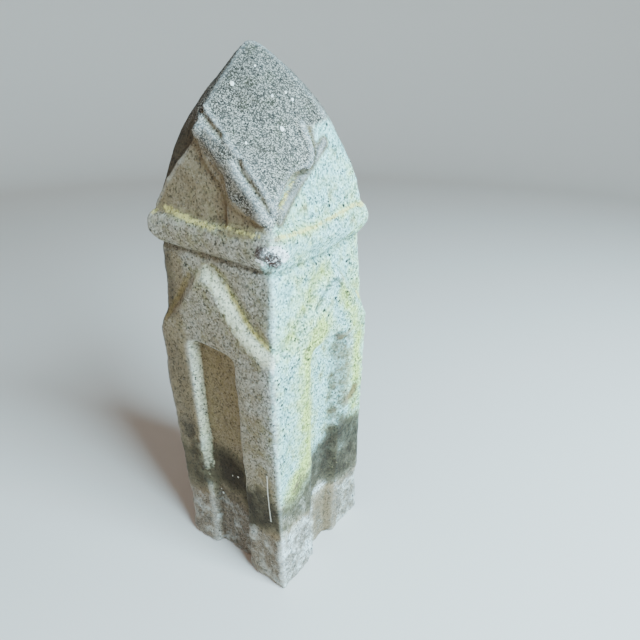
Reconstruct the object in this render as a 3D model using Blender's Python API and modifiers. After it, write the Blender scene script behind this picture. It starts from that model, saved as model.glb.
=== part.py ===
"""A cast-stone pier finial: four gabled walls with niches, a roll moulding and a helm-shaped top.

Blender 4.5, metres, +Z up. The base stands on z = 0 with its centre at the origin. The walls face -Y, +X, +Y
and -X; the two that the photograph shows face -Y and +X.
"""

import math

import bmesh
import bpy
from mathutils import Vector

# Lower stage: half-width of its foot, how much wider it is at the gable shields' corners, and its height there
BASE_HALF = 0.0478
BASE_EASE = 0.0016
BASE_EASE_TALL = 0.0025
STAGE_FLARE = 0.0019
STAGE_TALL = 0.190

# Neck: how far it stands back behind the shields, the rise of the weathering to it, and its taper
SHIELD_DEPTH = 0.0030
WEATHERING_RISE = 0.0105
NECK_TAPER = 0.0019

# Roll moulding: its middle above the stage, how far it stands out of the neck, how tall it is and its hidden root
ROLL_ABOVE_STAGE = 0.0708
ROLL_REACH = 0.0044
ROLL_TALL = 0.0225
ROLL_ROOT = 0.0008
ROLL_STEPS = 10

# Upper gables: leaning walls from just under the roll's top to the gable peaks
GABLE_SINK = 0.00105
GABLE_SET_OUT = 0.0002
GABLE_TALL = 0.0540
GABLE_LEAN = 0.0064
GABLE_ROOT = 0.0090

# Helm: its height above the gable peaks, how full its ridges are, its blunt tip and how far the tip leans
SPIRE_TALL = 0.0350
RIDGE_FULLNESS = 0.84
TIP_HALF = 0.0022
TIP_LEAN_X = -0.0013
TIP_LEAN_Y = -0.0009
FACE_PIECES = 6
SLOPE_LEVELS = 9
RIDGE_LEVELS = 9

# Steps along one slope of a lower gable, and the reach of the cutters past the stone
GABLE_STEPS = 9
CUT_OVER = 0.0030

# The neck and everything on it turned a little on the lower stage when the piece was cast
TWIST_DEG = 1.75
TWIST_ABOVE_NECK_FOOT = 0.0045

# Niches: their springing below the shields' corners, the rise of the head, the slope of its soffit, and the depth
NICHE_SPRING_DROP = 0.0050
NICHE_RISE = 0.0038
NICHE_SOFFIT_DROP = 0.0015
NICHE_DEPTH_TOP = 0.0081
NICHE_DEPTH_FOOT = 0.0058
NICHE_HEAD_STEPS = 12

# Grooves beside the front helm face: their radius, and where they start and end below the gable peaks
GROOVE_RADIUS = 0.0017
GROOVE_END_GAP = 0.0015
SHORT_GROOVE = (0.0010, 0.0140)
DEEP_GROOVE_DROP = 0.0210
RIGHT_GROOVE_DROP = 0.0060

# Raised coping of the -Y gable: its thickness, its eased edge, and the line where it ends on the wall, given along
# the wall and above the gables' foot
COPING_THICK = 0.0018
COPING_EASE = 0.0009
COPING_SINK = 0.0025
COPING_GAP = 0.0016
COPING_TOP_DROP = 0.0040
COPING_INNER_LINE = (
    (-0.0115, 0.0435),
    (-0.0062, 0.0422),
    (0.0035, 0.0360),
    (0.0122, 0.0275),
    (0.0147, 0.0170),
    (0.0187, 0.0095),
    (0.0290, 0.0058),
    (0.0400, 0.0028),
)

# Chip off the roll's front corner: the lump that takes it out, below the roll's middle and out of its corner
CHIP_SIZE = (0.0120, 0.0085, 0.0090)
CHIP_DROP = 0.0063
CHIP_OUT = 0.0028

# One record for each wall, counted anticlockwise from -Y. A gable line is its peak's place along the wall, the
# peak's height above the shields' corners, how round the peak is, and for its left and right slopes how far they
# sag and where the sag is greatest (1 the middle, 2 nearer the corner). A niche has the places of its jambs at the
# head and at the foot, and how much wider each jamb is at the wall's face than at the back. The upper gable has its
# peak's place along the wall and how far each slope bulges.
FRONT = {
    "upper_line": (-0.0025, 0.0525, 0.010, (0.0015, 1.0), (0.0030, 1.0)),
    "lower_line": (-0.0065, 0.0450, 0.002, (0.0018, 1.0), (0.0085, 1.0)),
    "niche_head": (-0.0240, 0.0140),
    "niche_foot": (-0.0180, 0.0140),
    "niche_splay": (0.0027, 0.0022),
    "gable_peak": -0.0045,
    "gable_bulge": (0.0, 0.0050),
}
RIGHT = {
    "upper_line": (0.0110, 0.0485, 0.008, (0.0090, 2.0), (0.0, 1.0)),
    "lower_line": (0.0150, 0.0410, 0.003, (0.0070, 1.0), (0.0010, 1.0)),
    "niche_head": (-0.0105, 0.0210),
    "niche_foot": (-0.0100, 0.0095),
    "niche_splay": (0.0024, 0.0055),
    "gable_peak": 0.0130,
    "gable_bulge": (-0.0130, 0.0010),
}
PLAIN = {
    "upper_line": (0.0, 0.0500, 0.008, (0.0020, 1.0), (0.0020, 1.0)),
    "lower_line": (0.0, 0.0420, 0.003, (0.0040, 1.0), (0.0040, 1.0)),
    "niche_head": (-0.0190, 0.0190),
    "niche_foot": (-0.0150, 0.0150),
    "niche_splay": (0.0025, 0.0025),
    "gable_peak": 0.0,
    "gable_bulge": (0.0010, 0.0010),
}
WALLS = (FRONT, RIGHT, PLAIN, PLAIN)

# One record for each corner, counted anticlockwise from the front one between -Y and +X: how far above the gables'
# foot the helm face's lower tip meets the corner, and how far the middle of the face swells out
CORNERS = (
    {"tip_rise": 0.0070, "swell": 0.0040},
    {"tip_rise": 0.0012, "swell": 0.0075},
    {"tip_rise": 0.0012, "swell": 0.0075},
    {"tip_rise": 0.0012, "swell": 0.0075},
)

# Half-widths and heights that follow from the sizes above, from the foot up
SHOULDER_HALF = BASE_HALF + STAGE_FLARE
NECK_FOOT_HALF = SHOULDER_HALF - SHIELD_DEPTH
NECK_FOOT_Z = STAGE_TALL + WEATHERING_RISE
NECK_TOP_HALF = NECK_FOOT_HALF - NECK_TAPER
ROLL_Z = STAGE_TALL + ROLL_ABOVE_STAGE
ROLL_FOOT_Z = ROLL_Z - ROLL_TALL / 2
ROLL_HALF = NECK_TOP_HALF + ROLL_REACH
FOOT_Z = ROLL_Z + ROLL_TALL / 2 - GABLE_SINK
FOOT_HALF = NECK_TOP_HALF + GABLE_SET_OUT
PEAK_Z = FOOT_Z + GABLE_TALL
PEAK_HALF = FOOT_HALF - GABLE_LEAN
TIP_Z = PEAK_Z + SPIRE_TALL
NICHE_SPRING_Z = STAGE_TALL - NICHE_SPRING_DROP


class Skin:
    """Collects the faces of one closed surface, and shares each point that is given twice."""

    def __init__(self):
        self.points = []
        self.faces = []
        self.index = {}

    def point(self, place):
        key = tuple(round(c * 1e7) for c in place)
        if key not in self.index:
            self.index[key] = len(self.points)
            self.points.append(tuple(place))
        return self.index[key]

    def face(self, places):
        ring = []
        for place in places:
            i = self.point(place)
            if i not in ring:
                ring.append(i)
        if len(ring) > 2:
            self.faces.append(ring)

    def object(self, name, collection):
        mesh = bpy.data.meshes.new(name)
        mesh.from_pydata(self.points, [], self.faces)
        tidy_mesh(mesh)
        obj = bpy.data.objects.new(name, mesh)
        collection.objects.link(obj)
        return obj


def tidy_mesh(mesh):
    """Triangulates a closed mesh and turns its faces outwards."""
    bm = bmesh.new()
    bm.from_mesh(mesh)
    bmesh.ops.remove_doubles(bm, verts=bm.verts, dist=1e-7)
    bmesh.ops.triangulate(bm, faces=bm.faces)
    bmesh.ops.recalc_face_normals(bm, faces=bm.faces)
    bm.to_mesh(mesh)
    bm.free()


def blend(a, b, t):
    return a + (b - a) * t


def on_wall(k, along, out, z):
    """A place from how far it is along wall k, counted to the right, and how far out from the axis."""
    turn = k * math.pi / 2
    c = round(math.cos(turn))
    s = round(math.sin(turn))
    return Vector((along * c + out * s, along * s - out * c, z))


def stage_half(z):
    return blend(BASE_HALF, SHOULDER_HALF, z / STAGE_TALL)


def neck_half(z):
    return blend(NECK_FOOT_HALF, NECK_TOP_HALF, (z - NECK_FOOT_Z) / (ROLL_FOOT_Z - NECK_FOOT_Z))


def gable_half(z):
    return blend(FOOT_HALF, PEAK_HALF, (z - FOOT_Z) / (PEAK_Z - FOOT_Z))


def gable_line(line, corner_z, corner_half):
    """The places along a wall, from its left corner over the gable's peak to its right corner."""
    peak, peak_rise, roundness, left, right = line
    peak_z = STAGE_TALL + peak_rise
    found = []
    for side, (sag, skew) in ((-1, left), (1, right)):
        reach = corner_half - side * peak
        most = skew ** skew / (skew + 1) ** (skew + 1)
        slope = []
        for i in range(1, GABLE_STEPS + 1):
            x = reach * (i / GABLE_STEPS) ** 1.25
            u = (math.hypot(x, roundness) - roundness) / (math.hypot(reach, roundness) - roundness)
            z = blend(peak_z, corner_z, u) - sag * u ** skew * (1 - u) / most
            slope.append((peak + side * x, z))
        found.append(slope)
    return found[0][::-1] + [(peak, peak_z)] + found[1]


def lower_stage(collection):
    """The gabled walls and the neck behind them."""
    skin = Skin()
    foot = []
    top = []
    for k, wall in enumerate(WALLS):
        low = gable_line(wall["lower_line"], STAGE_TALL, SHOULDER_HALF)
        high = gable_line(wall["upper_line"], NECK_FOOT_Z, NECK_FOOT_HALF)
        low_places = [on_wall(k, s, stage_half(z), z) for s, z in low]
        high_places = [on_wall(k, s, neck_half(z), z) for s, z in high]
        eased = stage_half(BASE_EASE_TALL)
        at_foot = BASE_HALF - BASE_EASE
        at_top = neck_half(ROLL_Z)
        left = on_wall(k, -eased, eased, BASE_EASE_TALL)
        right = on_wall(k, eased, eased, BASE_EASE_TALL)
        skin.face([left, right] + low_places[::-1])
        for i in range(len(low) - 1):
            skin.face([low_places[i], low_places[i + 1], high_places[i + 1], high_places[i]])
        top_left = on_wall(k, -at_top, at_top, ROLL_Z)
        top_right = on_wall(k, at_top, at_top, ROLL_Z)
        skin.face(high_places + [top_right, top_left])
        foot_left = on_wall(k, -at_foot, at_foot, 0.0)
        foot_right = on_wall(k, at_foot, at_foot, 0.0)
        skin.face([foot_left, foot_right, right, left])
        foot.append(foot_left)
        top.append(top_left)
    skin.face(foot[::-1])
    skin.face(top)
    return skin.object("pier_finial", collection)


def roll_moulding(collection):
    """The roll, from a half profile that the Screw modifier turns into a square plan."""
    rise = ROLL_TALL / 2
    out = ROLL_REACH + ROLL_ROOT
    radius = (rise * rise + out * out) / (2 * out)
    swing = math.asin(rise / radius)
    profile = [(0.0, ROLL_Z - rise)]
    for i in range(ROLL_STEPS + 1):
        a = blend(-swing, swing, i / ROLL_STEPS)
        profile.append((ROLL_HALF - radius + radius * math.cos(a), ROLL_Z + radius * math.sin(a)))
    profile.append((0.0, ROLL_Z + rise))
    points = [(half * math.sqrt(2), 0.0, z) for half, z in profile]
    edges = [(i, i + 1) for i in range(len(points) - 1)]
    mesh = bpy.data.meshes.new("Roll moulding")
    mesh.from_pydata(points, edges, [])
    obj = bpy.data.objects.new("Roll moulding", mesh)
    collection.objects.link(obj)
    screw = obj.modifiers.new("Square plan", "SCREW")
    screw.steps = 4
    screw.render_steps = 4
    screw.use_merge_vertices = True
    screw.merge_threshold = 0.00001
    screw.use_smooth_shade = False
    screw.use_normal_calculate = True
    obj.rotation_euler = (0.0, 0.0, math.radians(45))
    return obj


def edge_place(k, side, z):
    """Where the slope of upper gable k meets the helm, on the left (-1) or the right (1), or the ridge above it."""
    wall = WALLS[k]
    corner_z = FOOT_Z + CORNERS[k if side > 0 else k - 1]["tip_rise"]
    if z >= PEAK_Z:
        t = (TIP_Z - z) / SPIRE_TALL
        share = blend(TIP_HALF / PEAK_HALF, 1.0, t ** RIDGE_FULLNESS)
        return on_wall(k, wall["gable_peak"] * share, PEAK_HALF * share, z)
    half = gable_half(z)
    if z <= corner_z:
        return on_wall(k, side * half, half, z)
    t = (z - corner_z) / (PEAK_Z - corner_z)
    start = side * gable_half(corner_z)
    bulge = wall["gable_bulge"][0 if side < 0 else 1]
    along = blend(start, wall["gable_peak"], t) + side * bulge * 4 * t * (1 - t)
    return on_wall(k, along, half, z)


def lean_at(z):
    """How far the helm leans at a height."""
    return Vector((TIP_LEAN_X, TIP_LEAN_Y, 0.0)) * max(0.0, (z - FOOT_Z) / (TIP_Z - FOOT_Z)) ** 2


def helm_ring(z):
    """One level of the helm, anticlockwise: each wall's two slope edges, then the swelling corner face."""
    shift = lean_at(z)
    ring = []
    for k, corner in enumerate(CORNERS):
        start = edge_place(k, 1, z)
        end = edge_place((k + 1) % 4, -1, z)
        u = (TIP_Z - z) / (TIP_Z - FOOT_Z - corner["tip_rise"])
        swell = corner["swell"] * max(0.0, 4 * u * (1 - u))
        diagonal = on_wall(k, 1.0, 1.0, 0.0).normalized()
        ring.append(edge_place(k, -1, z) + shift)
        for i in range(FACE_PIECES):
            s = i / FACE_PIECES
            ring.append(start.lerp(end, s) + diagonal * swell * 4 * s * (1 - s) + shift)
    return ring


def helm_levels():
    levels = [FOOT_Z - GABLE_ROOT]
    tips = sorted({FOOT_Z + corner["tip_rise"] for corner in CORNERS})
    levels += tips
    levels += [blend(tips[-1], PEAK_Z, i / SLOPE_LEVELS) for i in range(1, SLOPE_LEVELS + 1)]
    levels += [blend(PEAK_Z, TIP_Z, 1 - (1 - i / RIDGE_LEVELS) ** 1.6) for i in range(1, RIDGE_LEVELS + 1)]
    return levels


def helm(collection):
    """The leaning gable walls and the four helm faces above them, as one skin through level rings."""
    skin = Skin()
    rings = [helm_ring(z) for z in helm_levels()]
    for below, above in zip(rings, rings[1:]):
        n = len(below)
        for i in range(n):
            j = (i + 1) % n
            skin.face([below[i], below[j], above[j]])
            skin.face([below[i], above[j], above[i]])
    skin.face(rings[0][::-1])
    skin.face(rings[-1])
    return skin.object("Helm top", collection)


def coping(collection):
    """The raised band on the right slope of the -Y gable."""
    front_tip_z = FOOT_Z + CORNERS[0]["tip_rise"]
    outer = []
    for z in helm_levels():
        if front_tip_z < z < PEAK_Z - COPING_TOP_DROP:
            place = edge_place(0, 1, z)
            outer.append((place.x - COPING_GAP, z - COPING_GAP))
    outer.append((FRONT["gable_peak"], PEAK_Z - COPING_TOP_DROP))
    corner_z = front_tip_z - COPING_GAP
    outer.insert(0, (gable_half(corner_z) - COPING_GAP / 2, corner_z - COPING_GAP / 2))
    outline = [(s, FOOT_Z + rise) for s, rise in COPING_INNER_LINE[::-1]] + outer[::-1]
    middle_s = sum(s for s, z in outline) / len(outline)
    middle_z = sum(z for s, z in outline) / len(outline)
    skin = Skin()
    low = [on_wall(0, s, gable_half(z) - COPING_SINK, z) for s, z in outline]
    mid = [on_wall(0, s, gable_half(z) + COPING_THICK - COPING_EASE, z) for s, z in outline]
    top = []
    for s, z in outline:
        inward = Vector((middle_s - s, middle_z - z)).normalized() * COPING_EASE
        top.append(on_wall(0, s + inward.x, gable_half(z + inward.y) + COPING_THICK, z + inward.y))
    n = len(outline)
    for i in range(n):
        j = (i + 1) % n
        skin.face([low[i], low[j], mid[j], mid[i]])
        skin.face([mid[i], mid[j], top[j], top[i]])
    skin.face(low)
    skin.face(top)
    return skin.object("Coping band", collection)


def niche_line(jambs_head, jambs_foot, spring_z, rise):
    """The outline of a niche, from below its left foot over its head to below its right foot."""
    points = [(jambs_foot[0], -CUT_OVER)]
    for i in range(NICHE_HEAD_STEPS + 1):
        v = i / NICHE_HEAD_STEPS
        z = spring_z + rise * math.sqrt(max(0.0, 1 - abs(2 * v - 1) ** 3))
        points.append((blend(jambs_head[0], jambs_head[1], v), z))
    points.append((jambs_foot[1], -CUT_OVER))
    return points


def niche_cutter(k, collection):
    """A solid the shape of one niche, wider at the wall's face than at the back."""
    wall = WALLS[k]
    splay = wall["niche_splay"]
    head = wall["niche_head"]
    foot = wall["niche_foot"]
    back = niche_line(head, foot, NICHE_SPRING_Z - NICHE_SOFFIT_DROP, NICHE_RISE)
    wide_head = (head[0] - splay[0], head[1] + splay[1])
    wide_foot = (foot[0] - splay[0], foot[1] + splay[1])
    front = niche_line(wide_head, wide_foot, NICHE_SPRING_Z, NICHE_RISE)
    inside = []
    outside = []
    for (back_s, back_z), (front_s, front_z) in zip(back, front):
        depth = blend(NICHE_DEPTH_FOOT, NICHE_DEPTH_TOP, back_z / NICHE_SPRING_Z)
        back_half = stage_half(back_z) - depth
        reach = stage_half(front_z) - back_half
        over = (reach + CUT_OVER) / reach
        inside.append(on_wall(k, back_s, back_half, back_z))
        outer_s = blend(back_s, front_s, over)
        outer_z = blend(back_z, front_z, over)
        outside.append(on_wall(k, outer_s, back_half + reach + CUT_OVER, outer_z))
    skin = Skin()
    n = len(inside)
    for i in range(n):
        j = (i + 1) % n
        skin.face([inside[i], inside[j], outside[j], outside[i]])
    skin.face(inside)
    skin.face(outside)
    return skin.object("Niche cutter %d" % (k + 1), collection)


def groove_cutter(name, places, collection):
    """A tapering round bar along the places, which leaves a rounded groove."""
    curve = bpy.data.curves.new(name, "CURVE")
    curve.dimensions = "3D"
    curve.bevel_depth = GROOVE_RADIUS
    curve.bevel_resolution = 1
    curve.use_fill_caps = True
    spline = curve.splines.new("POLY")
    spline.points.add(len(places) - 1)
    for i, place in enumerate(places):
        spline.points[i].co = (*place, 1.0)
        spline.points[i].radius = 0.35 if i in (0, len(places) - 1) else 1.0
    bar = bpy.data.objects.new(name, curve)
    collection.objects.link(bar)
    depsgraph = bpy.context.evaluated_depsgraph_get()
    mesh = bpy.data.meshes.new_from_object(bar.evaluated_get(depsgraph))
    bpy.data.objects.remove(bar)
    tidy_mesh(mesh)
    obj = bpy.data.objects.new(name, mesh)
    collection.objects.link(obj)
    return obj


def groove_path(k, side, from_z, to_z, steps):
    places = []
    for i in range(steps + 1):
        z = blend(from_z, to_z, i / steps)
        places.append(edge_place(k, side, z) + lean_at(z))
    return places


def chip_cutter(collection):
    """A rough lump that takes the chip out of the roll's front corner."""
    bm = bmesh.new()
    bmesh.ops.create_icosphere(bm, subdivisions=1, radius=1.0)
    mesh = bpy.data.meshes.new("Chip cutter")
    bm.to_mesh(mesh)
    bm.free()
    obj = bpy.data.objects.new("Chip cutter", mesh)
    obj.scale = CHIP_SIZE
    obj.rotation_euler = (math.radians(18), math.radians(-12), math.radians(45))
    obj.location = on_wall(0, ROLL_HALF + CHIP_OUT, ROLL_HALF + CHIP_OUT, ROLL_Z - CHIP_DROP)
    collection.objects.link(obj)
    return obj


def hide_tool(obj):
    obj.hide_render = True
    obj.display_type = "WIRE"


def combine(target, tool, operation):
    modifier = target.modifiers.new(tool.name, "BOOLEAN")
    modifier.operation = operation
    modifier.solver = "EXACT"
    modifier.object = tool
    hide_tool(tool)


def twist(target, collection):
    """Turns the neck and everything on it about the upright axis, and leaves the stage below as it is."""
    start = bpy.data.objects.new("Where the turn starts", None)
    start.location = (0.0, 0.0, NECK_FOOT_Z + TWIST_ABOVE_NECK_FOOT)
    start.hide_render = True
    collection.objects.link(start)
    modifier = target.modifiers.new("Turn on the lower stage", "SIMPLE_DEFORM")
    modifier.deform_method = "TWIST"
    modifier.deform_axis = "Z"
    modifier.origin = start
    modifier.angle = math.radians(TWIST_DEG)
    modifier.limits = ((NECK_FOOT_Z + TWIST_ABOVE_NECK_FOOT) / TIP_Z, ROLL_FOOT_Z / TIP_Z)


def centre_on_base(target):
    """Moves the finished piece so that its bounding box is centred on the upright axis."""
    bpy.context.view_layer.update()
    depsgraph = bpy.context.evaluated_depsgraph_get()
    corners = [Vector(c) for c in target.evaluated_get(depsgraph).bound_box]
    for axis in (0, 1):
        values = [c[axis] for c in corners]
        target.location[axis] = -(min(values) + max(values)) / 2


def stone_material():
    material = bpy.data.materials.new("Cast stone")
    material.use_nodes = True
    shader = material.node_tree.nodes["Principled BSDF"]
    shader.inputs["Base Color"].default_value = (0.48, 0.46, 0.39, 1.0)
    shader.inputs["Roughness"].default_value = 0.92
    return material


def main():
    for obj in list(bpy.data.objects):
        bpy.data.objects.remove(obj)
    parts = bpy.data.collections.new("Pier finial")
    tools = bpy.data.collections.new("Finial tools")
    bpy.context.scene.collection.children.link(parts)
    bpy.context.scene.collection.children.link(tools)
    finial = lower_stage(parts)
    combine(finial, roll_moulding(tools), "UNION")
    combine(finial, helm(tools), "UNION")
    combine(finial, coping(tools), "UNION")
    for k in range(4):
        combine(finial, niche_cutter(k, tools), "DIFFERENCE")
    groove_foot = FOOT_Z + CORNERS[0]["tip_rise"] + GROOVE_END_GAP
    short = groove_path(0, 1, PEAK_Z - SHORT_GROOVE[0], PEAK_Z - SHORT_GROOVE[1], 3)
    deep = groove_path(0, 1, PEAK_Z - DEEP_GROOVE_DROP, groove_foot, 6)
    right = groove_path(1, -1, PEAK_Z - RIGHT_GROOVE_DROP, groove_foot, 9)
    combine(finial, groove_cutter("Short groove", short, tools), "DIFFERENCE")
    combine(finial, groove_cutter("Deep groove", deep, tools), "DIFFERENCE")
    combine(finial, groove_cutter("Right groove", right, tools), "DIFFERENCE")
    combine(finial, chip_cutter(tools), "DIFFERENCE")
    twist(finial, tools)
    finial.data.materials.append(stone_material())
    centre_on_base(finial)


main()
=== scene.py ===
"""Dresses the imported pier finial: worn cast stone with grit, lichen and algae, on a pale studio floor."""

import math
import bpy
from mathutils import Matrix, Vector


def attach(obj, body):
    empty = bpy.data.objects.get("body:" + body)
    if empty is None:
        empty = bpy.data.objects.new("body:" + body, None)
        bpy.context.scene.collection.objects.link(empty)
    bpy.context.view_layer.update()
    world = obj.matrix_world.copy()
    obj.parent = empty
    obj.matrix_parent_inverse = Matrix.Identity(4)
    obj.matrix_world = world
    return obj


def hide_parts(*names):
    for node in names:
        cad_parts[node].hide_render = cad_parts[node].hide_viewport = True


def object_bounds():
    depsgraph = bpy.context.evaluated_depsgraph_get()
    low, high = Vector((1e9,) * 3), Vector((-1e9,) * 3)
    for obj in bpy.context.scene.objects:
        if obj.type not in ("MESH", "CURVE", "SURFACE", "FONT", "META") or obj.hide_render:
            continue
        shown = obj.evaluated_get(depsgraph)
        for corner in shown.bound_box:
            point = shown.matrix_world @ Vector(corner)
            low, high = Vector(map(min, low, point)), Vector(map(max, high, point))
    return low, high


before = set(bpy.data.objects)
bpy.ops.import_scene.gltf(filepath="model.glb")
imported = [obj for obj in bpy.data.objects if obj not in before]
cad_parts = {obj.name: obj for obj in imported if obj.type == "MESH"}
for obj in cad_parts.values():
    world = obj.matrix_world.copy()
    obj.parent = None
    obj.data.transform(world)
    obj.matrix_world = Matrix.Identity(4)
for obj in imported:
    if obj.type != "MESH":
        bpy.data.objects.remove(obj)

from types import SimpleNamespace

import bmesh
import bpy
import numpy as np
from mathutils import Matrix, Vector
from mathutils.bvhtree import BVHTree
from mathutils.noise import noise_vector

bl_info = {
    "name": "Pier finial in weathered cast stone",
    "version": (1, 0, 0),
    "blender": (4, 5, 0),
    "location": "3D View > Sidebar > Finial",
    "description": "Builds the worn surface, grit, lichen and stage of a cast-stone pier finial",
    "category": "Object",
}

CAD_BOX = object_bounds()
CAD_NODE = "pier_finial"
MM = 0.001

# Kinds of node that are used often
MATH = "ShaderNodeMath"
RANGE = "ShaderNodeMapRange"
MIX = "ShaderNodeMix"
CELLS = "ShaderNodeTexVoronoi"
NOISE = "ShaderNodeTexNoise"
PARTS = "ShaderNodeSeparateColor"

# The photograph's camera: place in metres, right and up directions, lens and sensor in millimetres
CAMERA_PLACE = (0.20807, -0.22151, 0.33789)
CAMERA_RIGHT = (0.80582, 0.59216, 0.00311)
CAMERA_UP = (-0.26241, 0.35237, 0.89832)
CAMERA_LENS = 27.0
CAMERA_SENSOR = 36.0

# The stone's noises: name, size in millimetres and detail
STONE_NOISES = (("cloud", 34.0, 3.0), ("patch", 9.0, 5.0), ("mottle", 3.2, 5.0), ("sand", 1.3, 3.0))

# Cells of the sand and of the bare grit, in millimetres
SAND_CELL = 1.15
GRIT_CELL = 0.55

# The lamps aim at this place, in metres
LAMPS_AIM = (0, 0, 0.17)

# The lamps: name, place in metres, width in metres and colour
LAMPS = (
    ("window", (1.14, -0.05, 0.88), 0.75, "#b6dff5"),
    ("fill", (0.15, -1.2, 0.45), 0.9, "#ffc68c"),
)

# Lines worked into the stone: paths in millimetres
SHORT_GROOVE = ((-5.6, -37.3, 326.2), (0.1, -38.5, 321.7), (5.3, -38.5, 317.1), (9.4, -38.7, 314.1))
DEEP_GROOVE = (
    (23.5, -40.6, 302.8), (25.6, -41.6, 298.8), (29.6, -41.6, 294.7), (35.5, -41.7, 289.2),
    (40.6, -41.1, 283.4), (45.1, -41.7, 279.2),
)
WINDING_GROOVE = (
    (35.6, 2.2, 316.9), (38.0, 2.1, 311.9), (39.4, 2.4, 308.6), (39.5, 3.4, 304.5), (40.6, 1.4, 302.1),
    (41.7, -1.7, 298.3), (41.1, -6.6, 295.9), (41.8, -16.8, 294.9), (42.4, -23.4, 291.3),
    (43.8, -29.3, 286.2), (43.7, -33.4, 281.7),
)
WINDING_LIP = (
    (33.2, -0.9, 318.9), (34.6, -1.0, 316.2), (37.1, -0.5, 312.1), (38.9, -0.7, 308.0), (40.5, -1.3, 303.8),
    (40.0, -2.0, 300.3), (40.5, -4.4, 298.0),
)
COPING_RIB = (
    (-5.0, -40.0, 317.0), (8.0, -41.5, 305.5), (20.0, -42.5, 297.5), (31.0, -43.0, 287.0),
    (43.0, -43.6, 275.5),
)
HELM_EDGE_FRONT = (
    (-3.0, -36.0, 328.0), (6.5, -38.0, 320.0), (14.0, -39.0, 313.0), (27.5, -40.6, 303.0),
    (34.0, -41.6, 295.0), (42.5, -41.5, 285.5),
)
SEAM = ((14.0, -43.4, 282.0), (14.0, -44.0, 276.1), (15.3, -45.9, 269.4))
RIGHT_COPING = (
    (40.5, 11.0, 309.0), (41.0, 2.5, 303.5), (41.5, -5.5, 297.5), (42.5, -15.5, 291.0),
    (43.5, -25.5, 283.5), (44.8, -35.5, 275.0),
)
UNDER_ROLL = (
    (-45.5, -46.0, 250.0), (-26.1, -45.6, 249.0), (-8.7, -45.1, 248.2), (23.0, -44.2, 247.2),
    (46.0, -42.6, 246.0), (45.4, -14.4, 245.0), (45.0, 0.9, 245.0), (44.1, 25.7, 247.4),
    (43.0, 43.5, 249.2), (-43.5, 43.5, 249.2), (-45.5, -46.0, 250.0),
)
SLOPE_ROOT_FRONT = (
    (-0.5, -46.2, 240.0), (10.9, -45.9, 233.0), (23.2, -46.3, 218.3), (36.0, -46.6, 207.4),
    (43.5, -46.6, 202.6),
)
SLOPE_ROOT_RIGHT = (
    (45.7, 9.0, 236.5), (45.6, -4.0, 232.4), (46.3, -10.9, 222.4), (47.0, -23.8, 209.6),
    (46.9, -38.4, 201.0),
)
SHIELD_EDGE_RIGHT = (
    (48.9, -7.9, 214.5), (48.9, -0.9, 220.8), (48.8, 4.5, 225.7), (49.3, 8.9, 228.2), (49.6, 13.5, 228.3),
    (49.6, 19.5, 222.2), (49.6, 28.5, 208.5),
)
SCAR = ((48.9, 38.8, 132.5), (48.0, 34.2, 127.5))

# Each groove or rib: its path, then its reach and its depth or height in millimetres
GROOVES = (
    (SHORT_GROOVE, 2.6, 1.9),
    (DEEP_GROOVE, 3.0, 2.9),
    (WINDING_GROOVE, 2.8, 1.9),
    (SEAM, 2.0, 1.0),
    (UNDER_ROLL, 3.2, 1.7),
    (SLOPE_ROOT_FRONT, 8.0, 1.5),
    (SLOPE_ROOT_RIGHT, 6.0, 1.0),
    (SHIELD_EDGE_RIGHT, 2.8, 1.0),
    (SCAR, 5.0, 0.8),
)
RIBS = (
    (WINDING_LIP, 3.2, 1.6),
    (COPING_RIB, 6.0, 0.7),
    (HELM_EDGE_FRONT, 3.0, 0.9),
    (RIGHT_COPING, 4.6, 1.0),
)

# The middle of the worn slope over the -Y hood, in millimetres
HOOD_SLOPE_FRONT = (
    (-9.0, -47.5, 234.5), (-3.0, -47.0, 238.0), (3.0, -47.0, 235.5), (10.0, -47.6, 226.3),
    (16.0, -47.8, 218.0), (22.3, -48.0, 210.3), (30.0, -48.2, 203.8), (38.5, -48.2, 198.7),
    (44.5, -48.2, 196.0),
)

# The -Y gable's left edge and its coping's inner edge: height, then place along the wall, in millimetres
GABLE_LEFT_EDGE = (
    (268, -47.0), (274.8, -41.6), (280.6, -38.8), (290.7, -30.3), (298.7, -22.6), (307.1, -14.0),
    (314.5, -7.2), (319, -4.5),
)
COPING_INNER_EDGE = (
    (266, 17.4), (268.8, 17.0), (277.7, 16.2), (284.1, 15.0), (291.3, 10.6), (297.0, 3.2), (301.7, -1.3),
    (306.5, -4.2), (314.0, -6.0),
)

# The +X niche's far jamb at the wall's face, and how wide its edge is worn: height, then millimetres
RIGHT_JAMB = ((0, 15.0), (185, 26.5))
RIGHT_SPLAY = ((104, 4.0), (122, 9.0), (150, 12.0), (172, 9.0), (188, 2.0))

# How far the helm, the gable's face and the worn jamb are moved, in millimetres
HELM_SET_BACK = (-1.0, 2.2, 0.0)
FACE_SET_BACK = (0.0, 1.3, 0.0)
JAMB_WORN_BACK = (-3.6, 0.0, 0.0)

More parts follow.
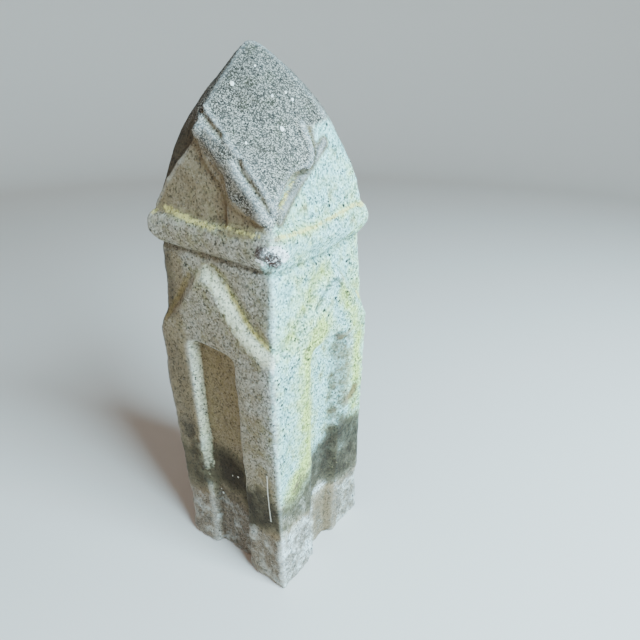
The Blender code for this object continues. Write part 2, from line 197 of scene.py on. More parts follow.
# Places pushed out or in when the cast was made or since worn: centre, reach and push, in millimetres
PUSHES = (
    ((-49.0, -49.0, 156.0), (16.0, 22.0, 38.0), (-2.6, -1.9, 0.0)),
    ((-49.0, -49.0, 85.0), (16.0, 22.0, 52.0), (-1.5, -1.1, 0.0)),
    ((-49.0, -49.0, 192.0), (14.0, 14.0, 14.0), (-1.3, -0.9, 0.0)),
    ((-26.0, -47.0, 92.0), (7.0, 9.0, 42.0), (-1.9, 0.0, 0.0)),
    ((49.0, -49.0, 100.0), (12.0, 12.0, 150.0), (0.8, -0.8, 0.0)),
    ((50.0, 50.0, 120.0), (14.0, 14.0, 150.0), (1.5, 1.3, 0.0)),
    ((49.0, 49.0, 0.0), (18.0, 18.0, 30.0), (1.3, 0.8, 0.0)),
    ((49.0, -49.0, 0.0), (14.0, 14.0, 25.0), (0.8, -0.8, 0.0)),
    ((-36.0, -48.0, 0.0), (17.0, 10.0, 24.0), (-0.3, -4.2, 0.0)),
    ((-4.0, -43.0, 0.0), (12.0, 8.0, 16.0), (0.0, -2.0, 0.0)),
    ((27.0, -48.0, 0.0), (13.0, 10.0, 20.0), (0.0, -2.8, 0.0)),
    ((48.0, -29.0, 0.0), (10.0, 13.0, 20.0), (2.4, 0.0, 0.0)),
    ((-49.0, -49.0, 261.0), (12.0, 12.0, 12.0), (-1.6, -1.2, 0.0)),
    ((-46.0, -42.0, 290.0), (12.0, 12.0, 14.0), (1.3, 0.9, 0.0)),
    ((-14.0, -14.0, 343.0), (14.0, 14.0, 16.0), (1.3, 0.9, 0.0)),
    ((-6.0, -40.5, 317.5), (5.0, 5.0, 5.0), (0.0, -1.6, 0.8)),
    ((-25.0, -48.0, 102.0), (4.5, 5.0, 6.0), (1.7, -2.1, 0.0)),
    ((-31.0, -49.0, 96.0), (5.0, 5.0, 7.0), (0.0, -1.0, 0.0)),
    ((-24.0, -48.0, 70.0), (4.0, 4.0, 6.0), (-1.7, 1.2, 0.0)),
    ((50.0, -43.0, 260.0), (3.2, 3.2, 3.2), (1.3, -0.5, 0.5)),
)

# Pieces broken away: a place on the break, the way it faces, its reach and its hollow, in millimetres
BREAKS = (
    ((46.2, -45.2, 256.5), (0.60, -0.62, -0.50), 13.0, 1.3),
    ((49.2, -39.5, 258.5), (0.90, -0.30, -0.30), 8.0, 0.7),
    ((42.0, -46.8, 254.5), (0.26, -0.84, -0.48), 7.5, 0.8),
    ((48.4, -49.0, 1.5), (0.57, -0.57, -0.60), 8.0, 0.3),
    ((-48.5, -48.5, 3.5), (-0.55, -0.55, -0.62), 9.0, 0.4),
    ((48.6, 48.6, 2.5), (0.55, 0.50, -0.66), 9.0, 0.4),
)

# The break at the roll's corner: its clean lip and lump, and its gravelly hollow, in millimetres
CHIP_LIP = ((39.0, -46.6, 255.2), (41.8, -45.4, 252.2), (45.6, -43.6, 250.8))
CHIP_LUMP = ((48.8, -45.6, 262.0), (50.2, -41.5, 261.0), (49.8, -37.5, 257.5), (48.2, -34.5, 254.5))
CHIP_HOLLOW = ((43.6, -47.0, 258.8), (46.6, -45.0, 257.0), (46.8, -41.0, 253.0))

# Growth and stains: paths in millimetres
LICHEN_OVER_ROLL_FRONT = (
    (-33.1, -45.9, 272.3), (-24.0, -46.3, 270.5), (-13.0, -47.2, 268.8), (7.1, -47.4, 267.4),
    (17.3, -46.3, 268.8), (36.3, -46.4, 267.7), (40.5, -46.1, 267.9),
)
LICHEN_OVER_ROLL_RIGHT = (
    (49.0, -43.2, 267.3), (48.9, -27.3, 266.4), (48.4, -8.3, 266.2), (46.4, 19.8, 268.6),
    (44.2, 44.3, 270.5),
)
LICHEN_UNDER_ROLL_RIGHT = (
    (46.1, -38.8, 245.9), (45.8, -28.4, 245.1), (45.4, -14.4, 245.1), (45.0, 0.9, 244.9),
    (44.1, 25.7, 247.6),
)
LICHEN_IN_GROOVE = ((45.0, -35.9, 279.9), (43.0, -28.4, 283.9), (43.3, -25.5, 288.6), (42.1, -17.2, 294.1))
LICHEN_GABLE_FRONT_RIGHT = (
    (-0.5, -45.8, 239.5), (10.9, -45.0, 232.0), (16.4, -45.2, 224.5), (23.2, -45.5, 217.3),
    (29.4, -45.7, 211.2), (36.0, -45.8, 206.8), (42.9, -46.0, 202.5),
)
LICHEN_GABLE_FRONT_LEFT = (
    (-20.5, -45.9, 232.5), (-29.2, -46.3, 219.8), (-39.6, -47.2, 206.0), (-44.9, -49.0, 196.3),
)
LICHEN_GABLE_RIGHT = (
    (45.6, 4.7, 235.9), (45.6, -6.6, 231.6), (46.3, -14.0, 221.0), (47.0, -23.8, 209.2),
    (47.8, -35.5, 201.0),
)
LICHEN_SHIELD_RIGHT = (
    (49.8, 21.9, 216.7), (49.9, 28.7, 205.5), (49.7, 37.4, 191.9), (49.6, 39.5, 177.8), (49.4, 40.2, 160.0),
    (49.2, 39.5, 118.0),
)
LICHEN_BESIDE_NICHE = (
    (49.8, -2.0, 200.0), (49.8, -8.0, 194.0), (49.7, -13.0, 186.3), (49.6, -15.0, 177.2),
    (49.5, -15.5, 160.2), (49.2, -15.5, 137.3), (48.9, -14.5, 112.0), (48.8, -19.6, 96.5),
    (48.7, -33.0, 86.0),
)
LICHEN_NOTCH = ((47.5, 40.5, 210.0), (48.5, 44.0, 204.5))
PALE_PATCH = ((41.9, -3.0, 55.8), (41.9, 8.8, 54.6), (45.3, 16.3, 53.9), (47.9, 18.4, 47.3))

# Each growth: its path, its reach in millimetres and its strength
LICHEN_CRUSTS = (
    (LICHEN_OVER_ROLL_FRONT[:4], 4.2, 0.80),
    (LICHEN_OVER_ROLL_FRONT[3:], 3.0, 0.64),
    (LICHEN_OVER_ROLL_RIGHT, 2.9, 0.78),
    (LICHEN_UNDER_ROLL_RIGHT, 2.6, 0.60),
    (LICHEN_IN_GROOVE, 2.6, 1.0),
    (LICHEN_GABLE_FRONT_RIGHT[1:], 4.4, 0.80),
    (LICHEN_NOTCH, 3.4, 0.9),
)
LICHEN_WASHES = (
    (LICHEN_OVER_ROLL_FRONT, 7.0, 0.55),
    (LICHEN_OVER_ROLL_RIGHT, 8.0, 0.60),
    (LICHEN_GABLE_FRONT_RIGHT, 9.0, 0.50),
    (LICHEN_GABLE_RIGHT, 17.0, 0.70),
    (LICHEN_SHIELD_RIGHT, 14.0, 0.90),
    (LICHEN_BESIDE_NICHE, 22.0, 1.05),
)
OCHRE_GROWTH = (
    (LICHEN_GABLE_FRONT_LEFT, 5.0, 1.0),
    (SCAR, 7.5, 1.2),
)

# The algae band on each wall: along the wall, then the height of its edge, in millimetres
BAND_TOP_FRONT = (
    (-49, 97), (-40, 92), (-33, 101), (-22, 101), (-5, 99), (5, 94), (13, 84), (21, 83), (29, 89), (37, 90),
    (45, 85), (49, 83),
)
BAND_FOOT_FRONT = (
    (-49, 52), (-42, 49), (-30, 54), (-14, 62), (6, 60), (17, 40), (23, 45), (43, 58), (49, 54),
)
BAND_TOP_RIGHT = (
    (-49, 82), (-43, 84), (-36, 86), (-27, 90), (-16, 94), (0, 100), (15, 105), (24, 111), (36, 109),
    (49, 106),
)
BAND_FOOT_RIGHT = (
    (-49, 53), (-41, 54), (-31, 56), (-22, 52), (-14, 50), (5, 60), (14, 52), (18, 52), (29, 50), (49, 51),
)
BAND_TOP_PLAIN = (
    (-49, 92), (-38, 101), (-27, 88), (-14, 84), (-4, 97), (8, 103), (19, 90), (30, 84), (40, 93), (49, 97),
)
BAND_FOOT_PLAIN = (
    (-49, 52), (-36, 60), (-24, 49), (-10, 63), (2, 55), (14, 44), (26, 57), (38, 62), (49, 54),
)

# The algae band on each wall: along the wall in millimetres, then its strength
BAND_STRENGTH_FRONT = (
    (-49, 0.60), (-30, 0.75), (-21, 0.55), (-13, 1.0), (6, 1.0), (14, 0.65), (20, 0.95), (44, 0.80),
    (49, 0.60),
)
BAND_STRENGTH_RIGHT = ((-49, 0.55), (-20, 0.62), (-5, 0.85), (10, 0.9), (49, 0.9))
BAND_STRENGTH_PLAIN = ((-49, 0.7), (-20, 0.85), (0, 0.55), (18, 0.9), (35, 0.55), (49, 0.7))

# How far the band's edges fade, and how far one wall's band runs into the next, in millimetres
BAND_SOFT = 9.0
CORNER_BLEND = 3.0

# The bare grit's edges on the helm's front: height, then place along -Y (left) or +X (right)
GRIT_LEFT_EDGE = (
    (268, 46), (271, 43), (274, 39.5), (277, 31), (281, 25.5), (285, 17.5), (294, 13.5), (302, 1.0),
    (309, -5.5), (314, -10.5), (330, -12), (360, -12),
)
GRIT_RIGHT_EDGE = (
    (268, -46), (272, -42), (276, -38), (282, -33), (286, -29), (291, -22), (295, -14), (298, -2), (302, 1),
    (312, 2), (317, 4), (320, 12), (324, 30), (360, 30),
)

# The scratch on the front pier: place along the -Y wall and height, at its top and at its foot
SCRATCH = ((38.8, 106.0), (39.7, 64.0))

# White chips: place and radius, in millimetres
WHITE_CHIPS = (
    (3.4, -21.4, 338.8, 1.5),
    (26.4, 0.1, 330.7, 1.0),
    (29.0, -12.0, 316.9, 1.5),
    (19.8, -8.6, 332.2, 0.9),
    (23.0, -1.6, 334.1, 0.9),
    (8.3, -8.4, 347.0, 0.7),
    (21.7, -32.3, 311.0, 0.9),
    (-3.3, -41.8, 77.0, 0.8),
    (2.5, -41.8, 78.8, 0.9),
    (-18.4, -41.9, 54.6, 0.7),
    (-17.0, -41.9, 51.1, 1.0),
)

# Masks kept on the stone's mesh for its material
ATTRIBUTES = (
    "grit", "lichen", "wash", "bloom", "ochre", "algae", "umber", "soot", "bleach", "tan", "fresh",
    "hollow", "foot", "cream", "arris", "crevice", "rough",
)


def linear(hex_colour):
    """An sRGB colour written as hex, as linear red, green, blue and alpha."""
    parts = [int(hex_colour[i : i + 2], 16) / 255 for i in (1, 3, 5)]
    return (*(c / 12.92 if c <= 0.04045 else ((c + 0.055) / 1.055) ** 2.4 for c in parts), 1.0)


def node(tree, kind, inputs=None, **settings):
    """Adds a node; inputs maps a socket's name or number to a value or to the socket that feeds it."""
    made = tree.nodes.new(kind)
    for name, value in settings.items():
        setattr(made, name, value)
    for key, value in (inputs or {}).items():
        if isinstance(value, bpy.types.NodeSocket):
            tree.links.new(value, made.inputs[key])
        else:
            made.inputs[key].default_value = value
    return made


def colour_property(name, text, hex_colour):
    """A colour that the user may change, with its default as linear values."""
    return bpy.props.FloatVectorProperty(
        name=name, description=text, subtype="COLOR", size=4, min=0.0, max=1.0, default=linear(hex_colour)
    )


def length_property(name, text, millimetres):
    """A length that the user may change, in metres, with its default given in millimetres."""
    default = millimetres * MM
    return bpy.props.FloatProperty(
        name=name, description=text, unit="LENGTH", min=0.0, precision=5, default=default
    )


def count_property(name, text, number):
    """A whole number that the user may change."""
    return bpy.props.IntProperty(name=name, description=text, min=0, default=number)


def power_property(name, text, watts):
    """The power of a lamp that the user may change, in watts."""
    return bpy.props.FloatProperty(name=name, description=text, unit="POWER", min=0.0, default=watts)


class FinialStoneSettings(bpy.types.PropertyGroup):
    """Sizes of the worn stone surface."""

    voxel: length_property("Mesh size", "Side of one small square of the surface", 1.42)
    soften: count_property("Softening", "Rounds of smoothing below the helm", 9)
    soften_helm: count_property("Helm softening", "Rounds of smoothing over the helm", 3)
    swell_size: length_property("Swell size", "Width of the broad unevenness from the mould", 38.0)
    swell_height: length_property("Swell height", "Height of the broad unevenness", 0.9)
    lump_size: length_property("Lump size", "Width of the lumps where the stone is worn", 7.0)
    lump_height: length_property("Lump height", "Height of the lumps where the stone is worn", 0.8)
    sand_size: length_property("Sand size", "Width of the coarsest sand", 2.4)
    sand_height: length_property("Sand height", "Height of the coarsest sand", 0.14)


class FinialGritSettings(bpy.types.PropertyGroup):
    """Sizes of the loose grains that stand out of the worn helm."""

    smallest: length_property("Smallest grain", "Width of the smallest grain", 0.5)
    largest: length_property("Largest grain", "Width of the largest grain", 0.95)
    pale_count: count_property("Pale grains", "Pale grains on a square metre", 90000)
    dark_count: count_property("Dark grains", "Dark grains on a square metre", 90000)
    crumb_count: count_property("Lichen crumbs", "Crumbs on a square metre", 200000)
    seed: count_property("Seed", "Seed of the random places", 4)


class FinialColourSettings(bpy.types.PropertyGroup):
    """Colours of the stone and of what grows on it; some are also laid as painted shade and painted
    highlight.
    """

    paste_pale: colour_property("Pale paste", "Clean cement paste", "#cdccc0")
    paste_warm: colour_property("Warm paste", "Cement paste with dust in it", "#b0a48c")
    # The air holes' dark is painted shade inside them
    hole_shade: colour_property("Pits", "Air holes in the face", "#24221e")
    grit_dark: colour_property("Dark grit", "Dark stone chippings", "#131110")
    grit_mid: colour_property("Grey grit", "Grey stone chippings", "#665c54")
    grit_pale: colour_property("Pale grit", "Quartz and limestone chippings", "#eadfce")
    lichen: colour_property("Lichen", "Yellow crust lichen", "#dccb7c")
    # Also lays painted shade inside the +X niche
    algae: colour_property("Algae", "Dried dark algae", "#2f2518")
    algae_pale: colour_property("Thin algae", "Thin dried algae", "#746a50")
    # Also laid as painted shade on faces turned from the window and multiplied into creases
    umber: colour_property("Brown film", "Soil film in sheltered places", "#7d694b")
    # Also laid as painted highlight near the front arris, on the -Y hood slope and on the foot's window side
    bleach: colour_property("Worn pale stone", "Stone scoured pale by handling", "#dfe3df")
    tan: colour_property("Tan stain", "Rusty stain under the algae", "#957c5e")
    wash: colour_property("Lichen wash", "Thin yellow lichen film", "#c2cc4e")
    # A cool tint on faces turned to the window: painted window light
    bloom: colour_property("Painted window tint", "Pale green film on the side that the weather reaches", "#9ad5cc")
    ochre: colour_property("Ochre growth", "Brown-yellow growth in a sheltered angle", "#8d7a4c")
    soot: colour_property("Soot", "Dark film in deep shelter", "#3d352a")
    # Also laid as painted shade under the roll, along the +X hood's edge and behind the -Y gable
    scratch: colour_property("Scratch", "Fresh scratch", "#ece9da")
    fresh: colour_property("Fresh break", "Clean broken cement", "#f4f3f0")
    hollow: colour_property("Gravelly break", "Brown gravel in the break", "#40221a")
    # Also laid as painted highlight on the -Y hood slope
    cream: colour_property("Cream film", "Cream-yellow film on worn slopes", "#efecc8")
    foot_brown: colour_property("Foot stain", "Brown-grey stain at the foot", "#75675b")


class FinialStageSettings(bpy.types.PropertyGroup):
    """Floor and lights of the studio."""

    floor: colour_property("Floor", "Pale floor and backdrop", "#ddd0c6")
    reach: length_property("Floor reach", "Radius of the floor before it turns up", 1700.0)
    bend: length_property("Backdrop bend", "Radius of the turn from floor to backdrop", 600.0)
    rise: length_property("Backdrop height", "Height of the backdrop", 1600.0)
    window_power: power_property("Window", "Power of the window light", 112.0)
    fill_power: power_property("Fill", "Power of the warm fill light", 2.3)
    sky: bpy.props.FloatProperty(
        name="Sky", description="Strength of the light from all round", default=0.225
    )


def places(path):
    """A path in millimetres as an array of places in metres."""
    return np.array(path, float) * MM


def ease(values, low, high):
    """0 below low, 1 above high, and a smooth turn between."""
    t = np.clip((values - low) / (high - low), 0.0, 1.0)
    return t * t * (3 - 2 * t)


def between(values, start, full, fade, end):
    """1 from full to fade, easing to 0 at start and at end."""
    return ease(values, start, full) * (1 - ease(values, fade, end))


def around(values, middle, full, end):
    """1 within full of the middle, easing to 0 at end."""
    return 1 - ease(abs(values - middle), full, end)


def read_table(table, values):
    """A table's second column, read where its first column has these values."""
    return np.interp(values, *np.array(table, float).T)


def path_distance(points, path):
    """Distance of each point from a path of straight pieces."""
    line = places(path)
    best = np.full(len(points), np.inf)
    for start, end in zip(line[:-1], line[1:]):
        span = end - start
        t = np.clip((points - start) @ span / (span @ span), 0, 1)
        best = np.minimum(best, np.linalg.norm(points - start - t[:, None] * span, axis=1))
    return best


def along_path(points, path, reach):
    """1 on the path, easing to 0 at its reach in millimetres."""
    return 1 - ease(path_distance(points, path), 0.0, reach * MM)


def near_paths(points, records):
    """The strongest of several paths' falloffs, each record being a path, its reach and its strength."""
    shares = [strength * along_path(points, path, reach) for path, reach, strength in records]
    return np.maximum.reduce(shares)


def read_mesh(mesh):
    """Points, edges and normals of a mesh as arrays."""
    points = np.empty(len(mesh.vertices) * 3)
    mesh.vertices.foreach_get("co", points)
    edges = np.empty(len(mesh.edges) * 2, int)
    mesh.edges.foreach_get("vertices", edges)
    normals = np.empty(len(mesh.vertices) * 3)
    mesh.vertex_normals.foreach_get("vector", normals)
    return points.reshape(-1, 3), edges.reshape(-1, 2), normals.reshape(-1, 3)


def read_surface(mesh):
    """A mesh as a tree that finds the nearest place on it."""
    corners = [v.co.copy() for v in mesh.vertices]
    return BVHTree.FromPolygons(corners, [tuple(p.vertices) for p in mesh.polygons])


def write_points(mesh, points):
    """Puts the points back and brings the normals up to date."""
    mesh.vertices.foreach_set("co", points.ravel())
    mesh.update()


def neighbour_mean(values, edges):
    """Mean of each point's neighbours."""
    count = np.bincount(edges.ravel(), minlength=len(values))
    out = np.empty_like(values)
    for axis in range(values.shape[1]):
        column = values[:, axis]
        total = np.bincount(edges[:, 0], column[edges[:, 1]], len(values))
        total += np.bincount(edges[:, 1], column[edges[:, 0]], len(values))
        out[:, axis] = total / count
    return out


def soften(points, edges, rounds, weight):
    """Moves each point part of the way to its neighbours' mean, several times."""
    for _ in range(rounds):
        points = points + weight[:, None] * (neighbour_mean(points, edges) - points)
    return points


def follow_solid(solid, even, sizes):
    """Puts an even mesh on the solid and wears its edges round, less at the tip, the foot and the helm."""
    points, edges, _ = read_mesh(even)
    surface = read_surface(solid)
    points = np.array([surface.find_nearest(p)[0] for p in points.tolist()])
    z = points[:, 2] / MM
    weight = 0.5 * (1 - 0.85 * ease(z, 346.0, 356.0)) * (0.12 + 0.88 * ease(z, 0.5, 6.0))
    points = soften(points, edges, sizes.soften_helm, weight)
    below_helm = weight * (1 - ease(z, 262.0, 276.0))
    return soften(points, edges, sizes.soften - sizes.soften_helm, below_helm)


def push_out(points):
    """Pushes places out or in, each over its own reach."""
    for centre, reach, push in PUSHES:
        near = np.exp(-(((points - places(centre)) / places(reach)) ** 2).sum(1))
        points = points + np.outer(near, places(push))
    return points


def set_back(points):
    """Sets the helm and the -Y gable's face back, and wears the +X niche's far jamb."""
    x, y, z = (points / MM).T
    past_edge = read_table(GABLE_LEFT_EDGE, z) - x
    helm = ease(past_edge, 0.0, 1.8) * ease(-y, 26.0, 34.0) * between(z, 272.0, 277.0, 318.0, 330.0)
    past_jamb = y - read_table(RIGHT_JAMB, z)
    jamb = 1 - ease(past_jamb / (read_table(RIGHT_SPLAY, z) + 0.01), 0.0, 1.0)
    jamb *= ease(past_jamb, -8.0, -6.0) * np.clip((x - 41.8) / 7.7, 0.0, 1.0)
    jamb *= between(z, 104.0, 122.0, 174.0, 188.0)
    past_ledge = read_table(COPING_INNER_EDGE, z) - x
    face = between(past_ledge, 0.0, 1.3, 4.0, 22.0) * (1 - helm) * ease(-y, 38.0, 40.0)
    face *= between(z, 267.0, 270.0, 310.0, 315.0)
    shifts = ((helm, HELM_SET_BACK), (jamb, JAMB_WORN_BACK), (face, FACE_SET_BACK))
    return points + sum(np.outer(share, places(shift)) for share, shift in shifts)


def work_lines(mesh):
    """Works the grooves and then the ribs into the mesh, each along the normals as they then are."""
    for path, reach, height in (*((path, reach, -depth) for path, reach, depth in GROOVES), *RIBS):
        points, _, normals = read_mesh(mesh)
        write_points(mesh, points + (along_path(points, path, reach) * height * MM)[:, None] * normals)


def knock_off(points, centre, facing, reach, hollow):
    """Flattens what stands beyond a break, with a shallow hollow in its middle."""
    out = np.array(facing) / np.linalg.norm(facing)
    offset = points - places(centre)
    beyond = offset @ out + hollow * MM
    near = 1 - ease(np.linalg.norm(offset, axis=1), reach * 0.75 * MM, reach * MM)
    return points - np.outer(np.maximum(beyond, 0.0) * near, out)


def algae_band(x, y, z):
    """How strongly the algae band covers each point, from the record of the wall that it is nearest."""
    walls = (
        (-y, x, BAND_TOP_FRONT, BAND_FOOT_FRONT, BAND_STRENGTH_FRONT),
        (x, y, BAND_TOP_RIGHT, BAND_FOOT_RIGHT, BAND_STRENGTH_RIGHT),
        (y, -x, BAND_TOP_PLAIN, BAND_FOOT_PLAIN, BAND_STRENGTH_PLAIN),
        (-x, -y, BAND_TOP_PLAIN, BAND_FOOT_PLAIN, BAND_STRENGTH_PLAIN),
    )
    outs = np.array([wall[0] for wall in walls])
    shares = np.exp((outs - outs.max(0)) / CORNER_BLEND)
    shares /= shares.sum(0)
    total = np.zeros(len(x))
    for share, (_, along, top, foot, strength) in zip(shares, walls):
        under_top = 1 - ease(z - read_table(top, along), -BAND_SOFT, BAND_SOFT)
        over_foot = ease(z - read_table(foot, along), -BAND_SOFT, BAND_SOFT)
        total += share * under_top * over_foot * read_table(strength, along)
    return total


def find_regions(points, normals):
    """Regions of the stone that several masks share: 1 inside, easing to 0 outside."""
    x, y, z = (points / MM).T
    nx, ny, nz = normals.T
    on_front = ease(-ny, 0.35, 0.75)
    past_left = ease(x - read_table(GRIT_LEFT_EDGE, z), -1.2, 1.6)
    blur = 1 + 3.0 * ease(z, 306.0, 320.0)
    before_right = ease((read_table(GRIT_RIGHT_EDGE, z) - y) / blur, -1.2, 1.6)
    niche = between(y, -46.8, -44.0, -40.0, -36.0) * around(x, -2.0, 20.0, 26.0)
    jamb = between(-x, 17.0, 21.0, 25.0, 29.0) * ease(nx, 0.25, 0.6)
    return SimpleNamespace(
        points=points,
        x=x,
        y=y,
        z=z,
        nx=nx,
        ny=ny,
        nz=nz,
        on_front=on_front,
        helm_front=past_left * before_right * ease(z, 267.0, 271.0),
        coping_right=along_path(points, RIGHT_COPING, 6.5),
        hood_slope=along_path(points, HOOD_SLOPE_FRONT, 9.0),
        niche=niche * (1 - ease(z, 180.0, 192.0)),
        jamb=jamb * ease(-y, 40.0, 43.0) * ease(z, 60.0, 90.0),
        pier_left=on_front * ease(-x, 22.0, 34.0) * (1 - ease(z, 170.0, 204.0)),
        # The -Y face near the front arris, made paler as painted light
        painted_light_by_arris=on_front * ease(x, 33.0, 49.0) * between(z, 92.0, 114.0, 188.0, 204.0),
        foot=1 - ease(z, 44.0, 60.0),
        niche_foot_right=ease(x, 38.0, 41.0) * around(y, 9.0, 9.0, 14.0) * (1 - ease(z, 38.0, 54.0)),
    )


def add_growth(found, at):
    """Lichen and its thin film, a cool tint on faces turned to the window as painted window light, brown
    growth, and algae with painted shade in the +X niche.
    """
    behind = np.maximum(ease(at.y, 38.0, 43.0), ease(-at.x, 38.0, 43.0))
    across = at.x - at.y
    wander = 0.9 * np.sin(0.11 * across) + 0.6 * np.sin(0.37 * (at.x + 2 * at.y))
    seam = behind * around(at.z - wander, 269.8, 0.3, 4.2) * (0.62 + 0.22 * np.sin(0.17 * across + 1.0))
    found["lichen"] = np.maximum(near_paths(at.points, LICHEN_CRUSTS), seam)
    slope_behind = behind * between(at.z, 196.0, 204.0, 236.0, 246.0) * ease(found["crevice"], 0.1, 0.5)
    streaks = 0.14 + 0.30 * ease(at.y, -36.0, -22.0) - 0.30 * ease(at.y, -13.0, -8.0)
    streaks += 0.40 * ease(at.y, 26.0, 36.0)
    streaks *= ease(at.nx, 0.5, 0.8) * ease(at.x, 38.0, 42.0) * ease(at.z, 84.0, 112.0)
    streaks *= 1 - 0.4 * ease(at.z, 190.0, 262.0)
    washes = near_paths(at.points, LICHEN_WASHES)
    found["wash"] = np.maximum.reduce((washes, 0.6 * slope_behind, streaks, 0.6 * at.hood_slope))
    # Faces turned to the window get a cool tint: painted window light
    window_side = ease(at.nx - 0.4 * at.ny, 0.25, 0.75) * ease(at.x, 30.0, 40.0)
    found["bloom"] = window_side * ease(at.z, 60.0, 100.0) * (1 - at.helm_front)
    found["ochre"] = near_paths(at.points, OCHRE_GROWTH) + 0.4 * at.niche * ease(at.z, 98.0, 116.0)
    # Painted shade inside the +X niche, laid through the algae mask
    past_jamb = at.y - read_table(RIGHT_JAMB, at.z)
    shade = ease(at.x, 38.0, 41.0) * between(past_jamb, -15.0, -4.0, 2.0, 13.0)
    shade *= ease(at.nx, 0.2, 0.6) * between(at.z, 96.0, 120.0, 176.0, 192.0)
    found["algae"] = algae_band(at.x, at.y, at.z) + 0.42 * shade
    found["arris"] *= 1 - 0.9 * np.clip(found["algae"], 0, 1)


def add_films(found, at):
    """Brown film in sheltered places and, as painted shade, on faces turned from the window; soot where the
    shelter is deep and, as painted shade, under the roll, along the +X hood's edge and behind the -Y gable.
    """
    panel = at.on_front * (1 - at.helm_front) * ease(at.z, 268.0, 273.0)
    strip = around(at.x, 24.0, 9.0, 15.0) * at.on_front * between(at.z, 264.0, 268.0, 276.0, 284.0)
    neck = at.on_front * ease(-at.x, 22.0, 34.0) * between(at.z, 196.0, 206.0, 240.0, 252.0)
    niche_foot = at.niche * ease(72.0 - at.z, 0.0, 20.0)
    film = 0.85 * panel + 0.86 * at.niche + 0.5 * niche_foot + 0.75 * strip
    film += 0.55 * neck + 0.85 * at.pier_left
    film *= 1 - 0.7 * at.jamb
    # Faces turned from the window get more brown, more at the foot and darker towards the bottom: painted
    # shade
    shaded = np.maximum(at.on_front, ease(at.ny - at.nx, 0.2, 0.9))
    shaded *= 1 - 0.9 * ease(-at.nz, 0.3, 0.7) * ease(at.x, 30.0, 38.0)
    lower = 1 - ease(at.z, 184.0, 208.0)
    film += (0.52 + 0.30 * at.foot + 0.12 * lower) * shaded * (1 - at.jamb) + 1.4 * at.coping_right
    # Less brown near the front arris, where painted light is laid
    film = np.clip(film, 0, 1) * (1 - 0.6 * at.painted_light_by_arris)
    found["umber"] = np.clip(film + 0.6 * at.niche_foot_right, 0, 1)

    # The helm's face behind the -Y gable, turned from the window, gets soot as painted shade
    behind_gable = ease(read_table(GABLE_LEFT_EDGE, at.z) - at.x, 0.2, 1.8) * ease(-at.y, -2.0, 33.0)
    behind_gable *= between(at.z, 272.0, 277.0, 326.0, 350.0)
    niche_band = at.niche * between(at.z, 60.0, 72.0, 88.0, 104.0)
    spot = at.on_front * np.exp(-(((at.x + 37.0) / 7.0) ** 2 + ((at.z - 108.0) / 9.0) ** 2))
    soot = behind_gable + 0.5 * niche_foot + 0.6 * neck * ease(-at.x, 30.0, 40.0)
    soot += 0.9 * niche_band + 0.7 * spot
    # Soot under the roll and along the +X hood's edge: a painted shadow line
    soot += 0.62 * along_path(at.points, UNDER_ROLL, 3.4) * (1 - 0.35 * ease(at.nx, 0.3, 0.8))
    soot += 0.74 * along_path(at.points, SHIELD_EDGE_RIGHT[:6], 2.8) + 1.3 * along_path(at.points, SCAR, 6.5)
    soot += 0.80 * at.coping_right + 0.42 * at.pier_left + 0.16 * at.niche
    far_foot = at.foot * ease(at.y, 22.0, 34.0) * ease(at.nx, 0.2, 0.7)
    found["soot"] = np.clip(np.clip(soot, 0, 1) + 0.36 * at.niche_foot_right + 0.30 * far_foot, 0, 1)


def add_break(found, at):
    """The break at the roll's corner: clean cement at its lip and lump, gravel in its hollow."""
    clean = np.maximum(along_path(at.points, CHIP_LIP, 2.5), along_path(at.points, CHIP_LUMP, 4.6))
    found["hollow"] = np.minimum(1.6 * along_path(at.points, CHIP_HOLLOW, 7.5), 1.0)
    found["fresh"] = np.maximum(clean, 0.29 * found["hollow"])


def add_wear(found, at):
    """Cream film and pale stone, both partly painted highlight, tan stain, the stained foot, and where the
    face is lumpy.
    """
    # The -Y hood slope's cream and pale films: partly its own cream-yellow and partly painted highlight
    slope = np.minimum(1.2 * at.hood_slope, 1.0)
    found["cream"] = np.maximum(1.16 * slope, 0.86 * at.jamb)
    outer = ease(np.maximum(abs(at.x), abs(at.y)), 44.0, 47.0)
    # On the foot, faces turned to the window get more pale stone: painted light
    lit = 0.10 + 0.60 * ease(at.nx, 0.2, 0.7) * (1 - 0.6 * ease(at.y, 14.0, 30.0))
    patch = along_path(at.points, PALE_PATCH, 5.0)
    found["bleach"] = np.clip(at.foot * outer * lit + 0.5 * at.painted_light_by_arris + 0.6 * slope + 0.9 * patch, 0, 1)
    found["foot"] = at.foot * (1 - 0.8 * at.niche_foot_right)
    patch = around(at.x, 38.0, 4.0, 12.0) * around(at.z, 101.0, 4.0, 15.0) * at.on_front
    edge = ease(at.x, 40.0, 46.0) * around(found["algae"], 0.3, 0.1, 0.28)
    stain = 0.3 * patch + 0.3 * at.pier_left + at.niche_foot_right + 0.45 * edge + 0.48 * at.foot
    found["tan"] = np.clip(stain, 0, 1)
    knobs = around(at.x, -26.0, 6.0, 12.0) * ease(-at.y, 40.0, 43.0)
    knobs *= between(at.z, 34.0, 50.0, 104.0, 116.0)
    chip = 1 - ease(np.hypot(at.x - 46.0, at.y + 44.0), 5.0, 12.0)
    chip *= between(at.z, 246.0, 250.0, 262.0, 267.0)
    rough = 0.15 + 1.9 * knobs + 0.8 * at.foot + 0.5 * found["arris"] + 1.2 * chip
    found["rough"] = np.clip(rough, 0, 2)


